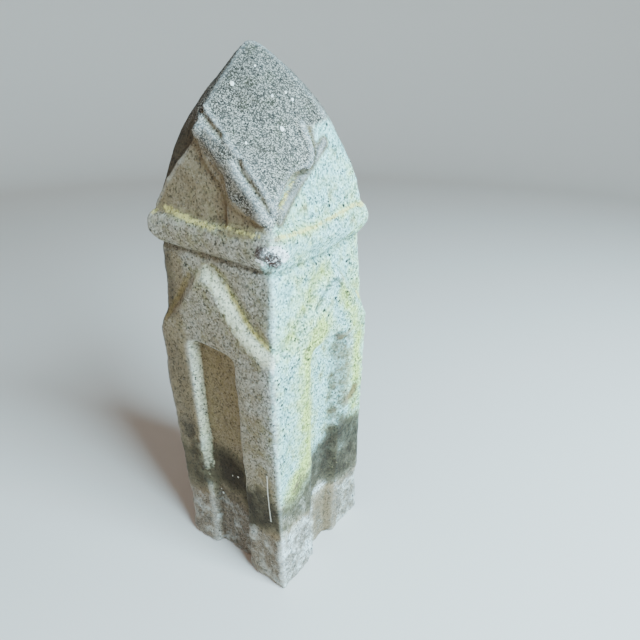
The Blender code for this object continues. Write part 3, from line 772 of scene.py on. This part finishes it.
def add_grit(found, at):
    """Bare grit on the helm's front, its upper ridges, the right coping, the roll's corner and the foot."""
    narrow = np.minimum(abs(at.nx), abs(at.ny)) / (np.maximum(abs(at.nx), abs(at.ny)) + 1e-6)
    ridge = ease(at.z, 276.0, 300.0) * ease(narrow, 0.25, 0.5)
    corner = ease(at.x - at.y, 82.0, 92.0) * between(at.z, 254.0, 262.0, 270.0, 276.0)
    shares = (at.helm_front, 0.55 * ridge, 0.55 * corner, 0.36 * at.foot, 0.62 * at.coping_right)
    broken = np.clip(1.8 * np.maximum(found["fresh"], found["hollow"]), 0, 1)
    flank = ease(-at.ny - 0.8 * at.nx, 0.45, 0.75) * between(at.z, 262.0, 268.0, 316.0, 326.0)
    kept = (1 - broken) * (1 - 0.85 * found["crevice"]) * (1 - 0.38 * flank)
    found["grit"] = np.maximum.reduce(shares) * kept


def masks(points, edges, normals):
    """Every surface mask of the stone, from places and from how the surface turns."""
    smooth = soften(points, edges, 14, np.full(len(points), 0.5))
    turn = ((points - smooth) * normals).sum(1) / MM
    # Creases and the valley along the +X hood's edge: painted shade
    line = 0.9 * along_path(points, SHIELD_EDGE_RIGHT, 1.9)
    found = {"arris": ease(turn, 0.10, 0.75), "crevice": np.maximum(ease(-turn, 0.06, 0.55), line)}
    at = find_regions(points, normals)
    for add in (add_growth, add_films, add_break, add_wear, add_grit):
        add(found, at)
    return found


def weather_tree():
    """Geometry nodes that lift the surface in three sizes, the middle one where the stone is rough."""
    tree = bpy.data.node_groups.new("Weathered face", "GeometryNodeTree")
    tree.is_modifier = True
    face = tree.interface
    face.new_socket("Geometry", in_out="INPUT", socket_type="NodeSocketGeometry")
    face.new_socket("Geometry", in_out="OUTPUT", socket_type="NodeSocketGeometry")
    for name in ("Swell Size", "Swell Height", "Lump Size", "Lump Height", "Sand Size", "Sand Height"):
        face.new_socket(name, in_out="INPUT", socket_type="NodeSocketFloat")
    face.new_socket("Material", in_out="INPUT", socket_type="NodeSocketMaterial")
    start = node(tree, "NodeGroupInput").outputs
    place = node(tree, "GeometryNodeInputPosition").outputs[0]
    rough = node(tree, "GeometryNodeInputNamedAttribute", {"Name": "rough"}, data_type="FLOAT").outputs[0]
    total = None
    for name in ("Swell", "Lump", "Sand"):
        scale = node(tree, MATH, {0: 1.0, 1: start[name + " Size"]}, operation="DIVIDE")
        noise = node(tree, NOISE, {"Vector": place, "Scale": scale.outputs[0], "Detail": 2.0})
        centred = node(tree, MATH, {0: noise.outputs["Fac"], 1: 0.5}, operation="SUBTRACT")
        # The noise swings by about a quarter to each side, so four times it fills the height
        full = node(tree, MATH, {0: centred.outputs[0], 1: 4.0}, operation="MULTIPLY")
        lift = node(tree, MATH, {0: full.outputs[0], 1: start[name + " Height"]}, operation="MULTIPLY")
        if name == "Lump":
            lift = node(tree, MATH, {0: lift.outputs[0], 1: rough}, operation="MULTIPLY")
        total = lift if total is None else node(tree, MATH, {0: total.outputs[0], 1: lift.outputs[0]})
    normal = node(tree, "GeometryNodeInputNormal").outputs[0]
    offset = node(tree, "ShaderNodeVectorMath", {0: normal, "Scale": total.outputs[0]}, operation="SCALE")
    shift = {"Geometry": start["Geometry"], "Offset": offset.outputs[0]}
    moved = node(tree, "GeometryNodeSetPosition", shift)
    plain = node(tree, "GeometryNodeRealizeInstances", {"Geometry": moved.outputs[0]})
    paint = {"Geometry": plain.outputs[0], "Material": start["Material"]}
    painted = node(tree, "GeometryNodeSetMaterial", paint)
    node(tree, "NodeGroupOutput", {"Geometry": painted.outputs[0]})
    return tree


def grain_tree():
    """Geometry nodes that scatter grains over a mesh where a named mask is high."""
    tree = bpy.data.node_groups.new("Scattered grains", "GeometryNodeTree")
    tree.is_modifier = True
    face = tree.interface
    face.new_socket("Geometry", in_out="INPUT", socket_type="NodeSocketGeometry")
    face.new_socket("Geometry", in_out="OUTPUT", socket_type="NodeSocketGeometry")
    face.new_socket("Mask", in_out="INPUT", socket_type="NodeSocketString")
    for name in ("Count", "Smallest", "Largest", "Flatness"):
        face.new_socket(name, in_out="INPUT", socket_type="NodeSocketFloat")
    face.new_socket("Seed", in_out="INPUT", socket_type="NodeSocketInt")
    face.new_socket("Material", in_out="INPUT", socket_type="NodeSocketMaterial")
    start = node(tree, "NodeGroupInput").outputs
    mask = node(tree, "GeometryNodeInputNamedAttribute", {"Name": start["Mask"]}, data_type="FLOAT")
    level = node(tree, RANGE, {0: mask.outputs[0], 1: 0.35, 2: 0.9, 3: 0.0, 4: start["Count"]})
    spread = node(
        tree,
        "GeometryNodeDistributePointsOnFaces",
        {"Mesh": start["Geometry"], "Density": level.outputs[0], "Seed": start["Seed"]},
    )
    grain = node(tree, "GeometryNodeMeshIcoSphere", {"Radius": 0.5, "Subdivisions": 1})
    limits = {2: start["Smallest"], 3: start["Largest"], "Seed": start["Seed"]}
    size = node(tree, "FunctionNodeRandomValue", limits, data_type="FLOAT").outputs[1]
    low = node(tree, MATH, {0: size, 1: start["Flatness"]}, operation="MULTIPLY")
    scale = node(tree, "ShaderNodeCombineXYZ", {0: size, 1: size, 2: low.outputs[0]})
    spin = node(tree, "FunctionNodeRandomValue", {2: 0.0, 3: 6.283, "Seed": 7}, data_type="FLOAT")
    upright = node(tree, "ShaderNodeCombineXYZ", {2: spin.outputs[1]})
    turn = node(
        tree,
        "FunctionNodeRotateRotation",
        {"Rotation": spread.outputs["Rotation"], "Rotate By": upright.outputs[0]},
        rotation_space="LOCAL",
    )
    put = node(
        tree,
        "GeometryNodeInstanceOnPoints",
        {
            "Points": spread.outputs["Points"],
            "Instance": grain.outputs["Mesh"],
            "Rotation": turn.outputs[0],
            "Scale": scale.outputs[0],
        },
    )
    plain = node(tree, "GeometryNodeRealizeInstances", {"Geometry": put.outputs[0]})
    paint = {"Geometry": plain.outputs[0], "Material": start["Material"]}
    painted = node(tree, "GeometryNodeSetMaterial", paint)
    node(tree, "NodeGroupOutput", {"Geometry": painted.outputs[0]})
    return tree


def grow(obj, tree, values):
    """Runs a node tree on an object with its named inputs set, and gives the result as a plain mesh."""
    modifier = obj.modifiers.new(tree.name, "NODES")
    modifier.node_group = tree
    for item in tree.interface.items_tree:
        if item.item_type == "SOCKET" and item.in_out == "INPUT" and item.name in values:
            modifier[item.identifier] = values[item.name]
    seen = obj.evaluated_get(bpy.context.evaluated_depsgraph_get())
    mesh = bpy.data.meshes.new_from_object(seen)
    obj.modifiers.remove(modifier)
    return mesh


def new_object(name, mesh):
    """A new object at the origin with this mesh."""
    obj = bpy.data.objects.new(name, mesh)
    mesh.name = name
    bpy.context.scene.collection.objects.link(obj)
    return obj


def new_material(name):
    """A new material with no nodes, its node tree, and the socket that gives the place on the piece."""
    material = bpy.data.materials.new(name)
    material.use_nodes = True
    tree = material.node_tree
    tree.nodes.clear()
    return material, tree, node(tree, "ShaderNodeTexCoord").outputs["Object"]


def merged_copy(source, name):
    """A copy of a CAD node with its loose triangles joined."""
    joined = bmesh.new()
    joined.from_mesh(source.data)
    bmesh.ops.remove_doubles(joined, verts=joined.verts, dist=0.01 * MM)
    mesh = bpy.data.meshes.new(name)
    joined.to_mesh(mesh)
    joined.free()
    return new_object(name, mesh)


def lay_films(tree, colour, mask, noise, films):
    """Lays films over a colour, each where its mask is high, with its edge broken up by noise."""
    for name, breaker, amount, edge, soft, hue, cover in films:
        swing = node(tree, MATH, {0: noise[breaker], 1: 0.5}, operation="SUBTRACT")
        shifted = node(tree, MATH, {0: swing.outputs[0], 1: amount, 2: mask[name]}, operation="MULTIPLY_ADD")
        limits = {1: edge - soft / 2, 2: edge + soft / 2, 3: 0.0, 4: cover}
        cut = node(tree, RANGE, {0: shifted.outputs[0], **limits})
        colour = node(tree, MIX, {0: cut.outputs[0], 6: colour, 7: hue}, data_type="RGBA").outputs[2]
    return colour


def shade_by(tree, colour, records):
    """Multiplies a colour by several greys; a record is a source, its range, and the greys at its ends."""
    for source, first, last, low, high in records:
        grey = node(tree, RANGE, {0: source, 1: first, 2: last, 3: low, 4: high})
        both = {0: 1.0, 6: colour, 7: grey.outputs[0]}
        mixed = node(tree, MIX, both, data_type="RGBA", blend_type="MULTIPLY")
        colour = mixed.outputs[2]
    return colour


def air_holes(tree, place):
    """Air holes in two sizes: one in each cell, some closed, with a radius of up to a third of the cell."""
    found = []
    for cell, closed, widest in ((2.0, 0.20, 0.29), (5.6, 0.36, 0.22)):
        cells = node(tree, CELLS, {"Vector": place, "Scale": 1 / (cell * MM)})
        pick = node(tree, PARTS, {0: cells.outputs["Color"]})
        wide = node(tree, RANGE, {0: pick.outputs[0], 1: closed, 2: 1.0, 3: -0.05, 4: widest})
        gap = node(tree, MATH, {0: wide.outputs[0], 1: cells.outputs["Distance"]}, operation="SUBTRACT")
        found.append(node(tree, RANGE, {0: gap.outputs[0], 1: -0.04, 2: 0.07}).outputs[0])
    return node(tree, MATH, {0: found[0], 1: found[1]}, operation="MAXIMUM").outputs[0]


def bare_grit(tree, place, cloud, height, colours):
    """The colour and the domes of bare grit, one to a cell, darker in clouds and towards the tip."""
    cells = node(tree, CELLS, {"Vector": place, "Scale": 1 / (GRIT_CELL * MM), "Randomness": 1.0})
    shade = node(tree, PARTS, {0: cells.outputs["Color"]})
    ramp = node(tree, "ShaderNodeValToRGB", {0: shade.outputs[0]})
    steps = ramp.color_ramp.elements
    steps[0].position = 0.29
    steps[0].color = colours.grit_dark
    steps[1].position = 0.86
    steps[1].color = colours.grit_pale
    middle = steps.new(0.54)
    middle.color = colours.grit_mid
    greys = ((cloud, 0.3, 0.7, 0.36, 0.68), (height, 318 * MM, 348 * MM, 1.0, 0.68))
    dome = node(tree, RANGE, {0: cells.outputs["Distance"], 1: 0.75, 2: 0.1})
    return shade_by(tree, ramp.outputs[0], greys), dome.outputs[0]


def scratch_line(tree, axes):
    """The scratch down the front pier: a line about 0.9 mm wide that leans with height."""
    (top_x, top_z), (foot_x, foot_z) = SCRATCH
    lean = node(tree, RANGE, {0: axes[2], 1: top_z * MM, 2: foot_z * MM, 3: top_x * MM, 4: foot_x * MM})
    aside = node(tree, MATH, {0: axes[0], 1: lean.outputs[0]}, operation="SUBTRACT")
    off = node(tree, MATH, {0: aside.outputs[0]}, operation="ABSOLUTE")
    line = node(tree, RANGE, {0: off.outputs[0], 1: 0.65 * MM, 2: 0.25 * MM})
    for axis, test, limit in (
        (2, "GREATER_THAN", foot_z),
        (2, "LESS_THAN", top_z),
        (1, "LESS_THAN", -45.0),
    ):
        inside = node(tree, MATH, {0: axes[axis], 1: limit * MM}, operation=test)
        line = node(tree, MATH, {0: line.outputs[0], 1: inside.outputs[0]}, operation="MULTIPLY")
    return line.outputs[0]


def stone_material(colours):
    """Cast stone, weathered: matt and sandy, with air holes, bare grit and growth over it, and painted shade
    and highlight in its colour.
    """
    material, tree, place = new_material("Cast stone, mould-cast and weathered")
    axes = node(tree, "ShaderNodeSeparateXYZ", {0: place}).outputs
    mask = {}
    for name in ATTRIBUTES:
        mask[name] = node(tree, "ShaderNodeAttribute", attribute_name=name).outputs["Fac"]
    noise = {}
    for name, size, detail in STONE_NOISES:
        settings = {"Vector": place, "Scale": 1 / (size * MM), "Detail": detail, "Roughness": 0.62}
        noise[name] = node(tree, NOISE, settings).outputs["Fac"]
    # Sand grains: nearly half of them darker than the paste and some paler
    grains = node(tree, CELLS, {"Vector": place, "Scale": 1 / (SAND_CELL * MM)})
    grain = node(tree, PARTS, {0: grains.outputs["Color"]}).outputs

    share = node(tree, RANGE, {0: noise["cloud"], 1: 0.35, 2: 0.65})
    pastes = {0: share.outputs[0], 6: colours.paste_warm, 7: colours.paste_pale}
    colour = node(tree, MIX, pastes, data_type="RGBA").outputs[2]
    # Each film: its mask, what breaks its edge up and by how much, where the edge is, its softness, colour
    # and cover
    under = (
        ("bloom", "patch", 0.9, 0.45, 0.90, colours.bloom, 0.72),
        ("wash", "patch", 1.8, 0.50, 0.90, colours.wash, 0.80),
        ("bleach", "mottle", 2.0, 0.50, 0.60, colours.bleach, 0.80),
    )
    over = (
        ("umber", "patch", 0.8, 0.45, 0.70, colours.umber, 0.85),
        ("tan", "patch", 1.9, 0.50, 0.60, colours.tan, 0.72),
        ("soot", "mottle", 1.2, 0.50, 0.70, colours.soot, 0.80),
        ("algae", "patch", 1.8, 0.40, 0.60, colours.algae_pale, 0.86),
        ("algae", "patch", 1.3, 0.59, 0.80, colours.algae, 0.95),
        ("ochre", "mottle", 1.4, 0.50, 0.70, colours.ochre, 0.70),
        ("lichen", "mottle", 1.9, 0.58, 0.40, colours.lichen, 0.85),
        ("foot", "patch", 3.4, 1.05, 0.90, colours.foot_brown, 0.72),
        ("foot", "patch", -3.4, 1.34, 0.90, colours.bleach, 0.50),
        ("cream", "mottle", 2.2, 0.80, 0.80, colours.cream, 0.72),
        ("hollow", "sand", 2.6, 0.44, 0.35, colours.hollow, 0.95),
        ("fresh", "sand", 1.6, 0.46, 0.30, colours.fresh, 0.95),
    )
    sand = (
        (grain[0], 0.02, 0.46, 0.30, 1.0),
        (grain[1], 0.78, 1.0, 1.0, 1.45),
        (noise["sand"], 0.1, 0.9, 0.5, 1.5),
    )
    speckle = (
        (grain[2], 0.02, 0.36, 0.38, 1.0),
        (noise["sand"], 0.1, 0.9, 0.72, 1.28),
        (noise["patch"], 0.1, 0.9, 0.84, 1.12),
    )
    colour = shade_by(tree, lay_films(tree, colour, mask, noise, under), sand)
    colour = shade_by(tree, lay_films(tree, colour, mask, noise, over), speckle)

    swing = node(tree, MATH, {0: noise["patch"], 1: 0.5}, operation="SUBTRACT")
    shifted = node(tree, MATH, {0: swing.outputs[0], 1: 0.9, 2: mask["grit"]}, operation="MULTIPLY_ADD")
    bare = node(tree, RANGE, {0: shifted.outputs[0], 1: 0.30, 2: 0.66, 3: 0.0, 4: 0.88}).outputs[0]
    grit, dome = bare_grit(tree, place, noise["cloud"], axes[2], colours)
    colour = node(tree, MIX, {0: bare, 6: colour, 7: grit}, data_type="RGBA").outputs[2]
    # Convex edges are screened paler; creases are multiplied darker with the brown colour as painted shade
    edges = (("arris", 0.18, colours.bleach, "SCREEN"), ("crevice", 0.42, colours.umber, "MULTIPLY"))
    for name, share, hue, blend in edges:
        level = node(tree, MATH, {0: mask[name], 1: share}, operation="MULTIPLY").outputs[0]
        mixed = node(tree, MIX, {0: level, 6: colour, 7: hue}, data_type="RGBA", blend_type=blend)
        colour = mixed.outputs[2]

    # Air holes, painted dark as the shade inside them, show where neither grit, brown film nor algae fills
    # them
    filled = bare
    for name, share in (("umber", 0.5), ("algae", 0.8)):
        filled = node(
            tree, MATH, {0: mask[name], 1: share, 2: filled}, operation="MULTIPLY_ADD", use_clamp=True
        ).outputs[0]
    free = node(tree, MATH, {0: 1.0, 1: filled}, operation="SUBTRACT").outputs[0]
    holes = node(tree, MATH, {0: air_holes(tree, place), 1: free}, operation="MULTIPLY").outputs[0]
    scratch = scratch_line(tree, axes)
    for level, hue in ((holes, colours.hole_shade), (scratch, colours.scratch)):
        colour = node(tree, MIX, {0: level, 6: colour, 7: hue}, data_type="RGBA").outputs[2]

    # Relief: sand and mottle where the paste shows, then grains, domes of grit, the holes and the scratch
    plain = node(tree, RANGE, {0: bare, 1: 0.0, 2: 0.88, 3: 1.0, 4: 0.30}).outputs[0]
    both = node(tree, MATH, {0: noise["sand"], 1: noise["mottle"]}).outputs[0]
    rise = node(tree, MATH, {0: both, 1: 0.55}, operation="MULTIPLY").outputs[0]
    height = node(tree, MATH, {0: rise, 1: plain}, operation="MULTIPLY").outputs[0]
    domed = node(tree, MATH, {0: dome, 1: bare}, operation="MULTIPLY").outputs[0]
    for part, share in ((grain[1], 0.20), (domed, 0.22), (holes, -0.9), (scratch, -0.5)):
        height = node(tree, MATH, {0: part, 1: share, 2: height}, operation="MULTIPLY_ADD").outputs[0]
    bump = node(tree, "ShaderNodeBump", {"Strength": 1.0, "Distance": 0.9 * MM, "Height": height})
    finish = {"Base Color": colour, "Roughness": 0.92, "Specular IOR Level": 0.3, "Normal": bump.outputs[0]}
    shader = node(tree, "ShaderNodeBsdfPrincipled", finish)
    node(tree, "ShaderNodeOutputMaterial", {"Surface": shader.outputs[0]})
    return material


def grain_material(name, pale, dark, size):
    """Stone grains or lichen crumbs: matt, each patch between two shades."""
    material, tree, place = new_material(name)
    cells = node(tree, CELLS, {"Vector": place, "Scale": 1 / (size * MM)})
    pick = node(tree, PARTS, {0: cells.outputs["Color"]})
    colour = node(tree, MIX, {0: pick.outputs[0], 6: dark, 7: pale}, data_type="RGBA")
    finish = {"Base Color": colour.outputs[2], "Roughness": 0.8, "Specular IOR Level": 0.35}
    shader = node(tree, "ShaderNodeBsdfPrincipled", finish)
    node(tree, "ShaderNodeOutputMaterial", {"Surface": shader.outputs[0]})
    return material


class FINIAL_OT_stone(bpy.types.Operator):
    """Builds the worn stone body over the CAD solid"""

    bl_idname = "finial.stone"
    bl_label = "Worn stone"

    def execute(self, context):
        sizes = context.scene.finial_stone
        body = merged_copy(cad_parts[CAD_NODE], "finial_body")
        solid = body.data
        remesh = body.modifiers.new("Even squares", "REMESH")
        remesh.mode = "VOXEL"
        remesh.voxel_size = sizes.voxel
        even = bpy.data.meshes.new_from_object(body.evaluated_get(context.evaluated_depsgraph_get()))
        body.modifiers.clear()
        body.data = even
        write_points(even, set_back(push_out(follow_solid(solid, even, sizes))))
        work_lines(even)
        points, edges, normals = read_mesh(even)
        for record in BREAKS:
            points = knock_off(points, *record)
        points[:, 2] = np.maximum(points[:, 2], 0.0)
        write_points(even, points)
        found = masks(*read_mesh(even))
        for name in ATTRIBUTES:
            even.attributes.new(name, "FLOAT", "POINT").data.foreach_set("value", found[name])
        values = {
            "Swell Size": sizes.swell_size,
            "Swell Height": sizes.swell_height,
            "Lump Size": sizes.lump_size,
            "Lump Height": sizes.lump_height,
            "Sand Size": sizes.sand_size,
            "Sand Height": sizes.sand_height,
            "Material": stone_material(context.scene.finial_colours),
        }
        body.data = grow(body, weather_tree(), values)
        points, edges, normals = read_mesh(body.data)
        points[:, 2] = np.clip(points[:, 2], 0.0, CAD_BOX[1].z)
        write_points(body.data, points)
        body.data.polygons.foreach_set("use_smooth", [True] * len(body.data.polygons))
        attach(body, "root")
        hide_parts(CAD_NODE)
        return {"FINISHED"}


class FINIAL_OT_grit(bpy.types.Operator):
    """Scatters loose grains over the worn helm and crumbs over the lichen"""

    bl_idname = "finial.grit"
    bl_label = "Grit and crumbs"

    def execute(self, context):
        sizes = context.scene.finial_grit
        colours = context.scene.finial_colours
        body = bpy.data.objects["finial_body"]
        tree = grain_tree()
        chippings = "Quartz and limestone chippings, broken"
        pale = grain_material(chippings, colours.grit_pale, colours.grit_mid, 1.0)
        dark = grain_material("Basalt chippings, broken", colours.grit_mid, colours.grit_dark, 1.0)
        crust = grain_material("Crust lichen, dried", colours.lichen, colours.paste_warm, 1.0)
        for name, mask, count, flatness, scale, material in (
            ("grit_pale", "grit", sizes.pale_count, 0.45, 1.0, pale),
            ("grit_dark", "grit", sizes.dark_count, 0.45, 1.0, dark),
            ("lichen_crumbs", "lichen", sizes.crumb_count, 0.5, 0.9, crust),
        ):
            values = {
                "Mask": mask,
                "Count": float(count),
                "Smallest": sizes.smallest * scale,
                "Largest": sizes.largest * scale,
                "Flatness": flatness,
                "Seed": sizes.seed + len(name),
                "Material": material,
            }
            piece = new_object(name, grow(body, tree, values))
            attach(piece, "root")
        return {"FINISHED"}


class FINIAL_OT_chips(bpy.types.Operator):
    """Sets the larger white chips where they lie in the face"""

    bl_idname = "finial.chips"
    bl_label = "White chips"

    def execute(self, context):
        colours = context.scene.finial_colours
        surface = read_surface(bpy.data.objects["finial_body"].data)
        chips = bmesh.new()
        for x, y, z, radius in WHITE_CHIPS:
            place, facing, _, _ = surface.find_nearest(Vector((x, y, z)) * MM)
            turn = facing.to_track_quat("Z", "Y").to_matrix().to_4x4()
            shape = Matrix.Translation(place) @ turn @ Matrix.Diagonal((1.0, 1.25, 0.45, 1.0))
            bmesh.ops.create_icosphere(chips, subdivisions=2, radius=0.8 * radius * MM, matrix=shape)
        for corner in chips.verts:
            corner.co += noise_vector(corner.co / (0.7 * MM)) * 0.32 * MM
        mesh = bpy.data.meshes.new("white_chips")
        chips.to_mesh(mesh)
        chips.free()
        mesh.materials.append(grain_material("Marble chips, broken", colours.bleach, colours.grit_pale, 1.5))
        piece = new_object("white_chips", mesh)
        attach(piece, "root")
        return {"FINISHED"}


class FINIAL_OT_stage(bpy.types.Operator):
    """Sets the pale floor, the soft lights and the camera of the photograph"""

    bl_idname = "finial.stage"
    bl_label = "Studio stage"

    def execute(self, context):
        settings = context.scene.finial_stage
        scene = context.scene
        reach, bend = settings.reach, settings.bend
        profile = [(0.0, 0.0), (reach, 0.0)]
        for i in range(1, 13):
            a = math.radians(90 * i / 12)
            profile.append((reach + bend * math.sin(a), bend - bend * math.cos(a)))
        profile.append((reach + bend, settings.rise))
        bowl = bmesh.new()
        rim = [bowl.verts.new((r, 0.0, z)) for r, z in profile]
        line = [bowl.edges.new(pair) for pair in zip(rim[:-1], rim[1:])]
        bmesh.ops.spin(bowl, geom=rim + line, axis=(0, 0, 1), cent=(0, 0, 0), steps=64, angle=2 * math.pi)
        bmesh.ops.remove_doubles(bowl, verts=bowl.verts, dist=0.1 * MM)
        bmesh.ops.recalc_face_normals(bowl, faces=bowl.faces)
        mesh = bpy.data.meshes.new("studio_floor")
        bowl.to_mesh(mesh)
        bowl.free()
        if mesh.polygons[0].normal.z < 0:
            mesh.flip_normals()
        mesh.polygons.foreach_set("use_smooth", [True] * len(mesh.polygons))
        paper = bpy.data.materials.new("Backdrop paper, matt")
        paper.use_nodes = True
        shader = paper.node_tree.nodes["Principled BSDF"]
        shader.inputs["Base Color"].default_value = settings.floor
        shader.inputs["Roughness"].default_value = 0.9
        mesh.materials.append(paper)
        new_object("studio_floor", mesh)
        powers = {"window": settings.window_power, "fill": settings.fill_power}
        for name, place, size, colour in LAMPS:
            light = bpy.data.lights.new(name, "AREA")
            light.size = size
            light.energy = powers[name]
            light.color = linear(colour)[:3]
            lamp = bpy.data.objects.new(name, light)
            lamp.location = place
            lamp.rotation_euler = (Vector(LAMPS_AIM) - Vector(place)).to_track_quat("-Z", "Y").to_euler()
            scene.collection.objects.link(lamp)
        world = bpy.data.worlds.new("Studio sky")
        scene.world = world
        world.use_nodes = True
        sky = world.node_tree.nodes["Background"]
        sky.inputs[0].default_value = linear("#f2e9e2")
        sky.inputs[1].default_value = settings.sky
        camera = bpy.data.cameras.new("photo_camera")
        camera.sensor_width = CAMERA_SENSOR
        camera.lens = CAMERA_LENS
        camera.clip_start = 0.01
        eye = bpy.data.objects.new("photo_camera", camera)
        right = Vector(CAMERA_RIGHT)
        up = Vector(CAMERA_UP)
        turn = Matrix((right, up, right.cross(up))).transposed().to_4x4()
        eye.matrix_world = Matrix.Translation(CAMERA_PLACE) @ turn
        scene.collection.objects.link(eye)
        scene.camera = eye
        return {"FINISHED"}


class FINIAL_PT_panel(bpy.types.Panel):
    """Lists the settings and the steps in the sidebar"""

    bl_idname = "FINIAL_PT_panel"
    bl_label = "Pier finial"
    bl_space_type = "VIEW_3D"
    bl_region_type = "UI"
    bl_category = "Finial"

    def draw(self, context):
        for key in SETTINGS:
            group = getattr(context.scene, key)
            box = self.layout.box()
            for name in group.bl_rna.properties.keys():
                if name not in ("rna_type", "name"):
                    box.prop(group, name)
        for step in STEPS:
            self.layout.operator(step.bl_idname)


SETTINGS = {
    "finial_stone": FinialStoneSettings,
    "finial_grit": FinialGritSettings,
    "finial_colours": FinialColourSettings,
    "finial_stage": FinialStageSettings,
}
STEPS = (FINIAL_OT_stone, FINIAL_OT_grit, FINIAL_OT_chips, FINIAL_OT_stage)


def register():
    """Registers the settings, the steps and the panel."""
    for key, group in SETTINGS.items():
        bpy.utils.register_class(group)
        setattr(bpy.types.Scene, key, bpy.props.PointerProperty(type=group))
    for kind in (*STEPS, FINIAL_PT_panel):
        bpy.utils.register_class(kind)


def unregister():
    """Takes away what register added."""
    for kind in (FINIAL_PT_panel, *reversed(STEPS)):
        bpy.utils.unregister_class(kind)
    for key, group in reversed(SETTINGS.items()):
        delattr(bpy.types.Scene, key)
        bpy.utils.unregister_class(group)


def main():
    """Builds the dressed finial and its stage."""
    register()
    bpy.ops.finial.stone()
    bpy.ops.finial.grit()
    bpy.ops.finial.chips()
    bpy.ops.finial.stage()


if __name__ == "__main__":
    main()
